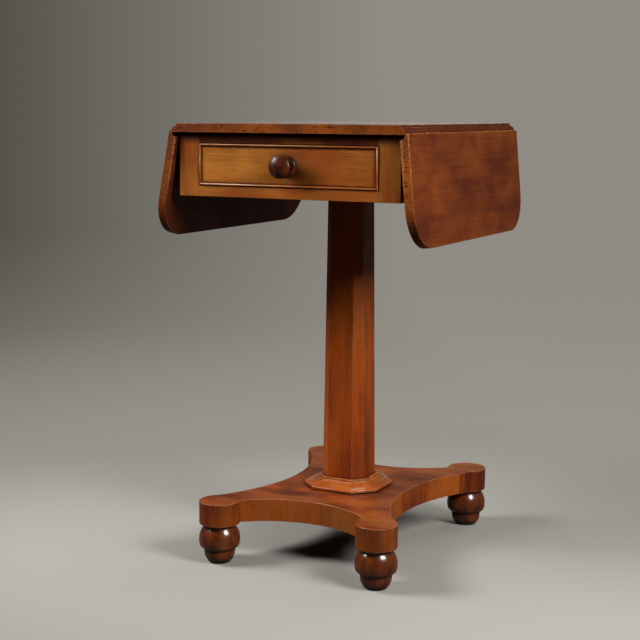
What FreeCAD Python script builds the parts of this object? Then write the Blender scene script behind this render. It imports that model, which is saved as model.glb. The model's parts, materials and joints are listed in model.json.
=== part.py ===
import FreeCAD
import Part
import math
import os

from FreeCAD import Vector

# Pembroke table: a small frame with one drawer and two drop leaves on a column, plinth and bun feet.
# Millimetres, X to the right, the drawer faces -Y, Z up from the floor, origin under the column.

# Whole table
TABLE_HEIGHT = 735.0
TOP_THICKNESS = 14.5
TOP_WIDTH = 391.0  # between the upper arrises of the two rule joints
TOP_DEPTH = 494.0  # front edge to back edge
ARRIS_RADIUS = 1.2  # eased edges of the top and the leaves
CUT_OVERRUN = 2.0
WOOD_FIT = 0.1  # play of tenons and turned spigots
TOUCH = 0.01  # how near a point has to be to count as on a face

# Rule joint and leaves
OVOLO_RADIUS = 9.0
RULE_GAP = 0.35
LEAF_WIDTH = 175.5  # hinge pin to outer edge
LEAF_CORNER_RADIUS = 63.0
RIGHT_HANG_DEG = 5.5  # lean of each hanging leaf, off plumb
LEFT_HANG_DEG = 11.0

# Leaf hinges
HINGE_PLATE = 2.0
HINGE_LENGTH = 33.0
HINGE_SPACING = 300.0
HINGE_TOP_REACH = 30.0
HINGE_LEAF_REACH = 46.0
HINGE_PIN_RADIUS = 1.5
HINGE_RUN_FIT = 0.05
KNUCKLE_RADIUS = 3.0
KNUCKLE_COUNT = 3
KNUCKLE_GAP = 0.3
KNUCKLE_ROOM = 0.5  # wood cut clear round the knuckle
HINGE_SCREW_RADIUS = 1.6
HINGE_SCREW_HEAD_RADIUS = 3.1
HINGE_SCREW_LENGTH = 9.5
HINGE_SCREW_EDGE = 6.5  # screw centre to the edge of its flap
SCREW_FIT = 0.05

# Frame under the top
TOP_OVERHANG = 9.0  # top beyond the frame, front and back
FRAME_CLEARANCE = 0.8  # frame inside the line of the hinge pins
FRAME_HEIGHT = 102.4
POST_WIDTH = 36.5
POST_DEPTH = 38.0
TOP_RAIL_HEIGHT = 17.2
TOP_RAIL_DEPTH = 50.0
BOTTOM_RAIL_HEIGHT = 17.3
BOTTOM_RAIL_DEPTH = 60.0
BACK_RAIL_THICKNESS = 20.0
RAIL_TENON_LENGTH = 16.0
RAIL_TENON_THICKNESS = 8.0
RAIL_TENON_SET = 6.0  # tenon behind the show face
RAIL_TENON_SHOULDER = 3.0
SIDE_THICKNESS = 12.0
SIDE_TENON_LENGTH = 12.0
SIDE_TENON_THICKNESS = 6.0
SIDE_TENON_SHOULDER = 18.0
RUNNER_WIDTH = 14.0
RUNNER_HEIGHT = 14.0
STOP_LENGTH = 24.0
STOP_DEPTH = 18.0
STOP_HEIGHT = 5.0
STOP_SPACING = 160.0
STOP_GAP = 0.3

# Fly brackets that hold the leaves up
FLY_INSET = 6.0  # fly rail behind the faces of the posts
FLY_LENGTH = 150.0  # pin to tip
FLY_AXIS_OFFSET = 75.0  # pin in front of the middle of the side
FLY_OGEE = 45.0
FLY_OGEE_BULGE = 6.0
FLY_NOSE = 14.0
FLY_BACK_GAP = 0.4
FLY_TOP_GAP = 0.5
FLY_END_GAP = 1.2
FINGER_COUNT = 5
FINGER_GAP = 0.4
FLY_PIN_RADIUS = 2.5
FLY_PIN_INSET = 1.0
FLY_PIN_RUN_FIT = 0.1

# Drawer
DRAWER_GAP = 1.1  # show gap round the drawer front
DRAWER_RUN_GAP = 0.2
DRAWER_BACK_ROOM = 46.0  # behind the closed drawer
DRAWER_FRONT_THICKNESS = 20.0
DRAWER_SIDE_THICKNESS = 8.0
DRAWER_SIDE_DROP = 4.0  # top of the sides below the top of the front
DRAWER_BACK_DROP = 5.0  # top of the back below the top of the sides
DRAWER_BACK_THICKNESS = 8.0
DRAWER_BOTTOM_THICKNESS = 6.0
DRAWER_BOTTOM_LIFT = 7.0
DRAWER_GROOVE = 4.0
DRAWER_GROOVE_FIT = 0.15
TAIL_LENGTH = 12.0
TAIL_FLARE = 1.8
TAIL_COUNT = 3
TAIL_ROOT_SHARE = 0.5  # width of a tail's root in its pitch
BEAD_WIDTH = 3.4
BEAD_DEPTH = 6.0
BEAD_PROUD = 2.4

# Drawer knob
KNOB_RADIUS = 18.4
KNOB_PROJECTION = 32.0
KNOB_RIM_BACK = 19.5  # from the drawer's face to the back and the front of the rim
KNOB_RIM_FRONT = 25.5
KNOB_RIM_ROUND = 1.4
KNOB_BASE_RADIUS = 17.4
KNOB_BASE_HEIGHT = 4.5
KNOB_NECK_RADIUS = 10.0
KNOB_RING_RADIUS = 12.4
KNOB_RING_BACK = 9.5
KNOB_RING_FRONT = 13.0
KNOB_SPIGOT_RADIUS = 7.0

# Pedestal
BEARER_DEPTH = 150.0
BEARER_LAP = 9.0  # thickness lapped under the sides
BEARER_GAP = 0.4
COLUMN_FOOT_WIDTH = 79.0
COLUMN_HEAD_WIDTH = 66.4
COLUMN_FOOT_CHAMFER = 15.9
COLUMN_HEAD_CHAMFER = 11.4
COLUMN_FOOT_TENON_RADIUS = 22.0
COLUMN_HEAD_TENON_RADIUS = 20.0
TENON_INSET = 0.5  # tenon end inside the face it passes to
WEDGE_LENGTH = 20.0
WEDGE_THICKNESS = 4.0
WEDGE_TIP = 1.0
COLLAR_SPREAD = 29.7
COLLAR_HEIGHT = 18.6
COLLAR_EDGE = 2.6
COLLAR_NOSE = 2.4
COLLAR_FILLET = 2.6
COLLAR_LEDGE = 5.5
COLLAR_STEP = 1.6
COLLAR_HOLLOW = 1.6
COLLAR_FIT = 0.2
PLINTH_THICKNESS = 38.5
PLINTH_TOP = 105.9
LOBE_RADIUS = 34.2
FOOT_SPREAD_X = 290.0
FOOT_SPREAD_Y = 403.0
PLINTH_WAIST_WIDTH = 218.0
PLINTH_WAIST_DEPTH = 281.4
SIDE_HOLLOW_RADIUS = 303.0
FRONT_HOLLOW_RADIUS = 169.0
FOOT_RADIUS = 34.8
FOOT_BULGE_HEIGHT = 40.0
FOOT_RIM_RADIUS = 8.0  # the bun's rounding where it turns in to the step
FOOT_STEP_HEIGHT = 25.0
FOOT_NECK = 6.0
CUP_RADIUS = 26.0
CUP_BULGE_HEIGHT = 19.5
FOOT_SPIGOT_RADIUS = 12.0
FOOT_SPIGOT_LENGTH = 28.0

# Screws that hold the top and the pedestal
LONG_SCREW_RADIUS = 2.2
LONG_SCREW_HEAD_RADIUS = 4.4
TOP_SCREW_LENGTH = 27.0
TOP_SCREW_SPACING = 180.0
TOP_SCREW_SET = 25.0
KICKER_SCREW_SPACING = 240.0
BEARER_SCREW_LENGTH = 34.0
BEARER_SCREW_SPACING = 100.0
SCREW_POINT = 4.0

# Places that follow from the sizes above
HALF_WIDTH = TOP_WIDTH / 2
HALF_DEPTH = TOP_DEPTH / 2
UNDERSIDE = TABLE_HEIGHT - TOP_THICKNESS
PIN_HEIGHT = UNDERSIDE + HINGE_PLATE / 2
FRAME_HALF_WIDTH = HALF_WIDTH - FRAME_CLEARANCE
FRAME_HALF_DEPTH = HALF_DEPTH - TOP_OVERHANG
FRAME_BOTTOM = UNDERSIDE - FRAME_HEIGHT
POST_INNER = FRAME_HALF_DEPTH - POST_DEPTH
OPENING_HALF = FRAME_HALF_WIDTH - POST_WIDTH
OPENING_BOTTOM = FRAME_BOTTOM + BOTTOM_RAIL_HEIGHT
OPENING_TOP = UNDERSIDE - TOP_RAIL_HEIGHT
BACK_RAIL_FACE = FRAME_HALF_DEPTH - BACK_RAIL_THICKNESS
SIDE_OUTER = OPENING_HALF + SIDE_THICKNESS
RUNNER_INNER = OPENING_HALF - RUNNER_WIDTH
FLY_OUTER = FRAME_HALF_WIDTH - FLY_INSET
FLY_BACK = SIDE_OUTER + FLY_BACK_GAP
FLY_AXIS_X = (FLY_OUTER + FLY_BACK) / 2
FLY_AXIS_Y = -FLY_AXIS_OFFSET
FINGER_RADIUS = (FLY_OUTER - FLY_BACK) / 2
FINGER_HEIGHT = FRAME_HEIGHT / FINGER_COUNT
DRAWER_HALF = OPENING_HALF - DRAWER_GAP
DRAWER_TOP = OPENING_TOP - DRAWER_GAP
DRAWER_BOTTOM = OPENING_BOTTOM + DRAWER_GAP
DRAWER_FACE = -FRAME_HALF_DEPTH
DRAWER_FRONT_BACK = DRAWER_FACE + DRAWER_FRONT_THICKNESS
DRAWER_END = BACK_RAIL_FACE - DRAWER_BACK_ROOM
DRAWER_SIDE_BOTTOM = OPENING_BOTTOM + DRAWER_RUN_GAP
DRAWER_SIDE_TOP = DRAWER_TOP - DRAWER_SIDE_DROP
DRAWER_SIDE_INNER = DRAWER_HALF - DRAWER_SIDE_THICKNESS
DRAWER_PANEL_LOW = DRAWER_SIDE_BOTTOM + DRAWER_BOTTOM_LIFT
DRAWER_PANEL_HIGH = DRAWER_PANEL_LOW + DRAWER_BOTTOM_THICKNESS
DRAWER_BACK_FACE = DRAWER_END - DRAWER_BACK_THICKNESS
DRAWER_BACK_TOP = DRAWER_SIDE_TOP - DRAWER_BACK_DROP
DRAWER_MIDDLE = (DRAWER_TOP + DRAWER_BOTTOM) / 2
BEARER_BOTTOM = FRAME_BOTTOM - BEARER_LAP
PLINTH_BOTTOM = PLINTH_TOP - PLINTH_THICKNESS
FOOT_X = FOOT_SPREAD_X / 2
FOOT_Y = FOOT_SPREAD_Y / 2
ALONG_X = Vector(1, 0, 0)
ALONG_Y = Vector(0, 1, 0)
ALONG_Z = Vector(0, 0, 1)
ORIGIN = Vector(0, 0, 0)


def box(x_low, x_high, y_low, y_high, z_low, z_high):
    """Block between two corners."""
    corner = Vector(x_low, y_low, z_low)
    return Part.makeBox(x_high - x_low, y_high - y_low, z_high - z_low, corner)


def outline(*runs):
    """Flat face bounded by lines, of two points, and arcs, of three."""
    edges = []
    for run in runs:
        curve = Part.LineSegment(*run) if len(run) == 2 else Part.Arc(*run)
        edges.append(curve.toShape())
    return Part.Face(Part.Wire(edges))


def polygon(*points):
    """Flat face with straight edges."""
    return Part.Face(Part.makePolygon(list(points) + [points[0]]))


def fused(shapes):
    """One solid from pieces that meet."""
    return shapes[0].multiFuse(shapes[1:]).removeSplitter()


def eased(solid, wanted):
    """The solid with the wanted edges rounded to the arris radius."""
    return solid.makeFillet(ARRIS_RADIUS, [edge for edge in solid.Edges if wanted(edge.BoundBox)])


def mirrored(shape):
    """The same piece for the other side of the table."""
    return shape.mirror(ORIGIN, ALONG_X)


def turned(*runs):
    """Turning round the Z axis from a half section in the XZ plane."""
    return outline(*runs).revolve(ORIGIN, ALONG_Z, 360)


def screw(place, shank, head, length, fit=0.0):
    """Countersunk screw that enters upwards, or with a fit, its hole."""
    sink = head - shank
    points = (
        Vector(0, 0, 0),
        Vector(head + fit, 0, 0),
        Vector(shank + fit, 0, sink),
        Vector(shank + fit, 0, length - SCREW_POINT + fit),
        Vector(0, 0, length + fit),
    )
    solid = polygon(*points).revolve(ORIGIN, ALONG_Z, 360)
    solid.translate(place)
    return solid


def hinge_places():
    """Y of the middle of each hinge of a leaf."""
    return (-HINGE_SPACING / 2, HINGE_SPACING / 2)


def hinge_screw_places(y, reach, side):
    """Screw centres of one hinge flap that reaches to the given side of the pin."""
    spread = HINGE_LENGTH / 2 - HINGE_SCREW_EDGE
    far = HALF_WIDTH + side * (reach - HINGE_SCREW_EDGE)
    middle = HALF_WIDTH + side * reach / 2
    flat = ((far, y - spread), (far, y + spread), (middle, y))
    return [Vector(x, place, UNDERSIDE) for x, place in flat]


def hinge_screws(reach, side, fit=0.0):
    """Screws of both hinges' flaps on one side of the pin, or their holes."""
    sizes = (HINGE_SCREW_RADIUS, HINGE_SCREW_HEAD_RADIUS, HINGE_SCREW_LENGTH, fit)
    places = []
    for y in hinge_places():
        places += hinge_screw_places(y, reach, side)
    return [screw(place, *sizes) for place in places]


def knuckle_rod(radius, y_low, y_high):
    """Rod on the hinge pin's line."""
    return Part.makeCylinder(radius, y_high - y_low, Vector(HALF_WIDTH, y_low, PIN_HEIGHT), ALONG_Y)


def knuckle_spans(y, wanted):
    """Ends along Y of the knuckles whose number is even (0) or odd (1)."""
    pitch = HINGE_LENGTH / KNUCKLE_COUNT
    start = y - HINGE_LENGTH / 2
    numbers = range(wanted, KNUCKLE_COUNT, 2)
    return [(start + number * pitch, start + (number + 1) * pitch) for number in numbers]


def hinge_flap(y, reach, side, own):
    """Flap with its own knuckles, cut clear of the other flap's knuckles and drilled."""
    x_low, x_high = sorted((HALF_WIDTH, HALF_WIDTH + side * reach))
    half = HINGE_LENGTH / 2
    flap = box(x_low, x_high, y - half, y + half, UNDERSIDE, UNDERSIDE + HINGE_PLATE)
    rods = [knuckle_rod(KNUCKLE_RADIUS, *span) for span in knuckle_spans(y, own)]
    flap = fused([flap] + rods)
    for low, high in knuckle_spans(y, 1 - own):
        flap = flap.cut(knuckle_rod(KNUCKLE_RADIUS + KNUCKLE_GAP, low - KNUCKLE_GAP, high + KNUCKLE_GAP))
    bore = knuckle_rod(HINGE_PIN_RADIUS + HINGE_RUN_FIT, y - HINGE_LENGTH, y + HINGE_LENGTH)
    return flap.cut(bore)


def hinge_flaps(reach, side, own):
    """Both hinges' flaps on one side of the pin."""
    holes = hinge_screws(reach, side, SCREW_FIT)
    return [hinge_flap(y, reach, side, own).cut(Part.makeCompound(holes)) for y in hinge_places()]


def hinge_pins():
    """The two pins that one leaf turns on."""
    half = HINGE_LENGTH / 2
    return [knuckle_rod(HINGE_PIN_RADIUS, y - half, y + half) for y in hinge_places()]


def hinge_recesses(reach, side):
    """Wood cut away so that flaps lie flush."""
    x_low, x_high = sorted((HALF_WIDTH, HALF_WIDTH + side * (reach + SCREW_FIT)))
    half = HINGE_LENGTH / 2 + SCREW_FIT
    low = UNDERSIDE - CUT_OVERRUN
    high = UNDERSIDE + HINGE_PLATE + SCREW_FIT
    return [box(x_low, x_high, y - half, y + half, low, high) for y in hinge_places()]


def knuckle_slots():
    """Wood of the top cut away round the knuckles and, only as deep as a flap, out to the leaf."""
    room = KNUCKLE_RADIUS + KNUCKLE_ROOM
    half = HINGE_LENGTH / 2 + KNUCKLE_ROOM
    out = HALF_WIDTH + OVOLO_RADIUS + CUT_OVERRUN
    low = UNDERSIDE - CUT_OVERRUN
    flap_top = UNDERSIDE + HINGE_PLATE + SCREW_FIT
    slots = []
    for y in hinge_places():
        ends = (y - half, y + half)
        slots.append(box(HALF_WIDTH - room, HALF_WIDTH + room, *ends, low, PIN_HEIGHT + room))
        slots.append(box(HALF_WIDTH, out, *ends, low, flap_top))
    return slots


def top_screws(fit=0.0):
    """Screws up through the front rail and the kickers into the top."""
    y_front = DRAWER_FACE + TOP_SCREW_SET
    x_kicker = OPENING_HALF - RUNNER_WIDTH / 2
    y_kicker = KICKER_SCREW_SPACING / 2
    flat = [(side * TOP_SCREW_SPACING / 2, y_front) for side in (-1, 1)]
    flat += [(side * x_kicker, end * y_kicker) for side in (-1, 1) for end in (-1, 1)]
    sizes = (LONG_SCREW_RADIUS, LONG_SCREW_HEAD_RADIUS, TOP_SCREW_LENGTH, fit)
    return [screw(Vector(x, y, OPENING_TOP), *sizes) for x, y in flat]


def top_board():
    """Fixed top with the ovolo of a rule joint along both sides."""
    edge = HALF_WIDTH + OVOLO_RADIUS
    shoulder = PIN_HEIGHT + OVOLO_RADIUS
    bend = OVOLO_RADIUS / math.sqrt(2)

    def at(x, z):
        return Vector(x, -HALF_DEPTH, z)

    section = outline(
        (at(-HALF_WIDTH, TABLE_HEIGHT), at(HALF_WIDTH, TABLE_HEIGHT)),
        (at(HALF_WIDTH, TABLE_HEIGHT), at(HALF_WIDTH, shoulder)),
        (at(HALF_WIDTH, shoulder), at(HALF_WIDTH + bend, PIN_HEIGHT + bend), at(edge, PIN_HEIGHT)),
        (at(edge, PIN_HEIGHT), at(edge, UNDERSIDE)),
        (at(edge, UNDERSIDE), at(-edge, UNDERSIDE)),
        (at(-edge, UNDERSIDE), at(-edge, PIN_HEIGHT)),
        (at(-edge, PIN_HEIGHT), at(-HALF_WIDTH - bend, PIN_HEIGHT + bend), at(-HALF_WIDTH, shoulder)),
        (at(-HALF_WIDTH, shoulder), at(-HALF_WIDTH, TABLE_HEIGHT)),
    )
    board = section.extrude(Vector(0, TOP_DEPTH, 0))
    board = eased(board, lambda b: b.ZMin > TABLE_HEIGHT - TOUCH and b.YLength < TOUCH)
    cuts = hinge_recesses(HINGE_TOP_REACH, -1) + knuckle_slots()
    cuts += hinge_screws(HINGE_TOP_REACH, -1, SCREW_FIT)
    cuts += [mirrored(cut) for cut in cuts]
    return board.cut(Part.makeCompound(cuts + top_screws(SCREW_FIT)))


def raised_leaf():
    """Right leaf as it lies when raised, with the cove that rides round the ovolo."""
    inner = HALF_WIDTH + RULE_GAP
    outer = HALF_WIDTH + LEAF_WIDTH
    radius = LEAF_CORNER_RADIUS
    bend = radius - radius / math.sqrt(2)

    def at(x, y):
        return Vector(x, y, UNDERSIDE)

    front = -HALF_DEPTH
    back = HALF_DEPTH
    face = outline(
        (at(inner, front), at(outer - radius, front)),
        (at(outer - radius, front), at(outer - bend, front + bend), at(outer, front + radius)),
        (at(outer, front + radius), at(outer, back - radius)),
        (at(outer, back - radius), at(outer - bend, back - bend), at(outer - radius, back)),
        (at(outer - radius, back), at(inner, back)),
        (at(inner, back), at(inner, front)),
    )
    board = face.extrude(Vector(0, 0, TOP_THICKNESS))
    board = eased(board, lambda b: b.ZLength < TOUCH and b.XMax > inner + TOUCH)
    ends = (front - CUT_OVERRUN, back + CUT_OVERRUN)
    cove = knuckle_rod(OVOLO_RADIUS + RULE_GAP, *ends)
    reach = HALF_WIDTH + OVOLO_RADIUS + RULE_GAP
    below = box(HALF_WIDTH, reach, *ends, UNDERSIDE - CUT_OVERRUN, PIN_HEIGHT)
    cuts = [cove, below] + hinge_recesses(HINGE_LEAF_REACH, 1)
    cuts += hinge_screws(HINGE_LEAF_REACH, 1, SCREW_FIT)
    return board.cut(Part.makeCompound(cuts))


def hung(shape, hang):
    """A raised right leaf's piece turned down about the hinge pin until it hangs."""
    return shape.rotated(Vector(HALF_WIDTH, 0, PIN_HEIGHT), ALONG_Y, 90 - hang)


def leaf_pieces():
    """Both leaves with their hinges, the left one mirrored."""
    pieces = {}
    flaps = hinge_flaps(HINGE_LEAF_REACH, 1, 1)
    screws = hinge_screws(HINGE_LEAF_REACH, 1)
    moving = {"leaf": [raised_leaf()], "hinge_leaf_flaps": flaps, "hinge_leaf_screws": screws}
    fixed = {
        "hinge_top_flaps": hinge_flaps(HINGE_TOP_REACH, -1, 0),
        "hinge_top_screws": hinge_screws(HINGE_TOP_REACH, -1),
        "hinge_pins": hinge_pins(),
    }
    for name, solids in moving.items():
        pieces["right_" + name] = [hung(solid, RIGHT_HANG_DEG) for solid in solids]
        pieces["left_" + name] = [mirrored(hung(solid, LEFT_HANG_DEG)) for solid in solids]
    for name, solids in fixed.items():
        pieces["right_" + name] = solids
        pieces["left_" + name] = [mirrored(solid) for solid in solids]
    return pieces


def cross_tenons(y_low, thickness, z_low, z_high, fit=0.0):
    """Bar that leaves a tenon in the post at each end of a cross rail."""
    reach = OPENING_HALF + RAIL_TENON_LENGTH + fit
    y_high = y_low + thickness
    return box(-reach, reach, y_low - fit, y_high + fit, z_low - fit, z_high + fit)


def rail_tenons(fit=0.0):
    """Tenon bars of the front top, front bottom and back rails."""
    front = DRAWER_FACE + RAIL_TENON_SET
    back = FRAME_HALF_DEPTH - RAIL_TENON_SET - RAIL_TENON_THICKNESS
    spans = {
        "front_top_rail": (front, OPENING_TOP, UNDERSIDE),
        "front_bottom_rail": (front, FRAME_BOTTOM, OPENING_BOTTOM),
        "back_rail": (back, FRAME_BOTTOM, UNDERSIDE),
    }
    bars = {}
    for name, (y, z_low, z_high) in spans.items():
        low = z_low + RAIL_TENON_SHOULDER
        high = z_high - RAIL_TENON_SHOULDER
        bars[name] = cross_tenons(y, RAIL_TENON_THICKNESS, low, high, fit)
    return bars


def side_tenon(fit=0.0):
    """Bar that leaves a tenon at each end of the right inner side."""
    middle = OPENING_HALF + SIDE_THICKNESS / 2
    half = SIDE_TENON_THICKNESS / 2 + fit
    reach = POST_INNER + SIDE_TENON_LENGTH + fit
    low = FRAME_BOTTOM + SIDE_TENON_SHOULDER - fit
    high = UNDERSIDE - SIDE_TENON_SHOULDER + fit
    return box(middle - half, middle + half, -reach, reach, low, high)


def frame_pieces():
    """Posts, rails, inner sides, runners, kickers and drawer stops."""
    pieces = {}
    bars = rail_tenons()
    half = OPENING_HALF
    rail_boxes = {
        "front_top_rail": (DRAWER_FACE, DRAWER_FACE + TOP_RAIL_DEPTH, OPENING_TOP, UNDERSIDE),
        "front_bottom_rail": (DRAWER_FACE, DRAWER_FACE + BOTTOM_RAIL_DEPTH, FRAME_BOTTOM, OPENING_BOTTOM),
        "back_rail": (BACK_RAIL_FACE, FRAME_HALF_DEPTH, FRAME_BOTTOM, UNDERSIDE),
    }
    holes = Part.makeCompound(top_screws(SCREW_FIT))
    for name, sizes in rail_boxes.items():
        pieces[name] = [fused([box(-half, half, *sizes), bars[name]]).cut(holes)]
    mortises = list(rail_tenons(WOOD_FIT).values()) + [side_tenon(WOOD_FIT)]
    for end, y_low, y_high in (("front", DRAWER_FACE, -POST_INNER), ("back", POST_INNER, FRAME_HALF_DEPTH)):
        post = box(half, FRAME_HALF_WIDTH, y_low, y_high, FRAME_BOTTOM, UNDERSIDE)
        post = post.cut(Part.makeCompound(mortises))
        pieces["post_" + end + "_right"] = [post]
        pieces["post_" + end + "_left"] = [mirrored(post)]
    side = box(half, SIDE_OUTER, -POST_INNER, POST_INNER, FRAME_BOTTOM, UNDERSIDE)
    side = fused([side, side_tenon()]).cut(Part.makeCompound(bearer_screws(SCREW_FIT)))
    runner_run = (DRAWER_FACE + BOTTOM_RAIL_DEPTH, BACK_RAIL_FACE)
    kicker_run = (DRAWER_FACE + TOP_RAIL_DEPTH, BACK_RAIL_FACE)
    runner = box(RUNNER_INNER, half, *runner_run, OPENING_BOTTOM - RUNNER_HEIGHT, OPENING_BOTTOM)
    kicker = box(RUNNER_INNER, half, *kicker_run, OPENING_TOP, UNDERSIDE)
    pairs = {"inner_side": side, "drawer_runner": runner, "kicker": kicker.cut(holes)}
    for name, solid in pairs.items():
        pieces["right_" + name] = [solid]
        pieces["left_" + name] = [mirrored(solid)]
    stop_low = DRAWER_FRONT_BACK + STOP_GAP
    x_low = (STOP_SPACING - STOP_LENGTH) / 2
    x_high = x_low + STOP_LENGTH
    stop_top = OPENING_BOTTOM + STOP_HEIGHT
    stop = box(x_low, x_high, stop_low, stop_low + STOP_DEPTH, OPENING_BOTTOM, stop_top)
    pieces["drawer_stops"] = [stop, mirrored(stop)]
    return pieces


def finger(radius, level, gap=0.0):
    """Round finger of the wooden knuckle joint at one level of the fly rail."""
    base = FRAME_BOTTOM + level * FINGER_HEIGHT - gap
    return Part.makeCylinder(radius, FINGER_HEIGHT + 2 * gap, Vector(FLY_AXIS_X, FLY_AXIS_Y, base))


def fly_pin(radius, inset):
    """Upright pin of the knuckle joint, or the hole for it."""
    base = Vector(FLY_AXIS_X, FLY_AXIS_Y, FRAME_BOTTOM + inset)
    return Part.makeCylinder(radius, FRAME_HEIGHT - 2 * inset, base)


def fly_outline(x, top):
    """Side view of the fly bracket, whose end is cut to an ogee."""
    tip = FLY_AXIS_Y + FLY_LENGTH
    heel = tip - FLY_OGEE
    upper = Vector(x, tip, UNDERSIDE - FLY_NOSE)
    lower = Vector(x, heel, FRAME_BOTTOM + FLY_NOSE)
    middle = (upper + lower) / 2
    slope = (lower - upper).normalize()
    swell = Vector(0, -slope.z, slope.y) * FLY_OGEE_BULGE
    start_low = Vector(x, FLY_AXIS_Y, FRAME_BOTTOM)
    start_high = Vector(x, FLY_AXIS_Y, top)
    tip_high = Vector(x, tip, top)
    heel_low = Vector(x, heel, FRAME_BOTTOM)
    return outline(
        (start_low, start_high),
        (start_high, tip_high),
        (tip_high, upper),
        (upper, (upper + middle) / 2 + swell, middle),
        (middle, (middle + lower) / 2 - swell, lower),
        (lower, heel_low),
        (heel_low, start_low),
    )


def fly_pieces():
    """Fly rails, the bracket hinged in them on wooden fingers, and its pin."""
    bracket = fly_outline(FLY_BACK, UNDERSIDE - FLY_TOP_GAP).extrude(Vector(FLY_OUTER - FLY_BACK, 0, 0))
    front = box(SIDE_OUTER, FLY_OUTER, -POST_INNER, FLY_AXIS_Y, FRAME_BOTTOM, UNDERSIDE)
    for level in range(FINGER_COUNT):
        room = finger(FINGER_RADIUS + FINGER_GAP, level, FINGER_GAP)
        if level % 2:
            bracket = bracket.fuse(finger(FINGER_RADIUS, level))
            front = front.cut(room)
        else:
            bracket = bracket.cut(room)
            front = front.fuse(finger(FINGER_RADIUS, level))
    bracket = bracket.removeSplitter().cut(fly_pin(FLY_PIN_RADIUS + FLY_PIN_RUN_FIT, -CUT_OVERRUN))
    front = front.removeSplitter().cut(fly_pin(FLY_PIN_RADIUS + SCREW_FIT, -CUT_OVERRUN))
    heel = FLY_AXIS_Y + FLY_LENGTH - FLY_OGEE + FLY_END_GAP
    room = fly_outline(SIDE_OUTER - CUT_OVERRUN, UNDERSIDE + CUT_OVERRUN)
    room = room.extrude(Vector(FLY_OUTER - SIDE_OUTER + 2 * CUT_OVERRUN, 0, 0))
    room.translate(Vector(0, FLY_END_GAP, 0))
    back = box(SIDE_OUTER, FLY_OUTER, heel, POST_INNER, FRAME_BOTTOM, UNDERSIDE).cut(room)
    pin = fly_pin(FLY_PIN_RADIUS, FLY_PIN_INSET)
    right = {"fly_rail_front": front, "fly_rail_back": back, "fly_bracket": bracket, "fly_pin": pin}
    pieces = {}
    for name, solid in right.items():
        pieces["right_" + name] = [solid]
        pieces["left_" + name] = [mirrored(solid)]
    return pieces


def dovetails(y_root, y_end, z_low, z_high):
    """Tails of the right drawer side, which flare from root to end."""
    pitch = (z_high - z_low) / TAIL_COUNT
    half = pitch * TAIL_ROOT_SHARE / 2
    wide = half + TAIL_FLARE
    x = DRAWER_SIDE_INNER
    tails = []
    for number in range(TAIL_COUNT):
        z = z_low + (number + TAIL_ROOT_SHARE) * pitch
        corners = ((y_root, z - half), (y_end, z - wide), (y_end, z + wide), (y_root, z + half))
        face = polygon(*[Vector(x, y, height) for y, height in corners])
        tails.append(face.extrude(Vector(DRAWER_SIDE_THICKNESS, 0, 0)))
    return tails


def drawer_panel(fit=0.0):
    """Bottom board of the drawer, or the groove that it slides in."""
    half = DRAWER_SIDE_INNER + DRAWER_GROOVE + fit
    front = DRAWER_FRONT_BACK - DRAWER_GROOVE - fit
    return box(-half, half, front, DRAWER_END + fit, DRAWER_PANEL_LOW - fit, DRAWER_PANEL_HIGH + fit)


def bead_section(radius):
    """Cock bead laid along the bottom edge of the drawer front, its nose rounded."""
    back = DRAWER_FACE + BEAD_DEPTH
    nose = DRAWER_FACE - BEAD_PROUD
    low = DRAWER_BOTTOM
    high = low + 2 * radius

    def at(y, z):
        return Vector(-DRAWER_HALF, y, z)

    return outline(
        (at(back, low), at(nose + radius, low)),
        (at(nose + radius, low), at(nose, low + radius), at(nose + radius, high)),
        (at(nose + radius, high), at(back, high)),
        (at(back, high), at(back, low)),
    )


def cock_beads():
    """Four strips round the drawer front, mitred at the corners."""
    middle = Vector(0, 0, DRAWER_MIDDLE)
    half_height = (DRAWER_TOP - DRAWER_BOTTOM) / 2
    y = DRAWER_FACE - BEAD_PROUD - CUT_OVERRUN
    depth = Vector(0, BEAD_PROUD + BEAD_DEPTH + 2 * CUT_OVERRUN, 0)
    long_bead = bead_section(BEAD_WIDTH / 2).extrude(Vector(2 * DRAWER_HALF, 0, 0))
    inset = DRAWER_HALF - half_height
    long_mitre = polygon(
        Vector(-DRAWER_HALF, y, DRAWER_BOTTOM),
        Vector(DRAWER_HALF, y, DRAWER_BOTTOM),
        Vector(inset, y, DRAWER_MIDDLE),
        Vector(-inset, y, DRAWER_MIDDLE),
    ).extrude(depth)
    bottom = long_bead.common(long_mitre)
    upright = long_bead.translated(Vector(0, 0, half_height - DRAWER_HALF)).rotated(middle, ALONG_Y, 90)
    side_mitre = polygon(
        Vector(-DRAWER_HALF, y, DRAWER_BOTTOM),
        Vector(-inset, y, DRAWER_MIDDLE),
        Vector(-DRAWER_HALF, y, DRAWER_TOP),
    ).extrude(depth)
    left = upright.common(side_mitre)
    return {
        "cock_bead_bottom": [bottom],
        "cock_bead_top": [bottom.mirror(middle, ALONG_Z)],
        "cock_bead_left": [left],
        "cock_bead_right": [mirrored(left)],
    }


def knob_hole():
    """Hole through the drawer front for the knob's spigot."""
    base = Vector(0, DRAWER_FRONT_BACK, DRAWER_MIDDLE)
    return Part.makeCylinder(KNOB_SPIGOT_RADIUS + WOOD_FIT, DRAWER_FRONT_THICKNESS, base, -ALONG_Y)


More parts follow.
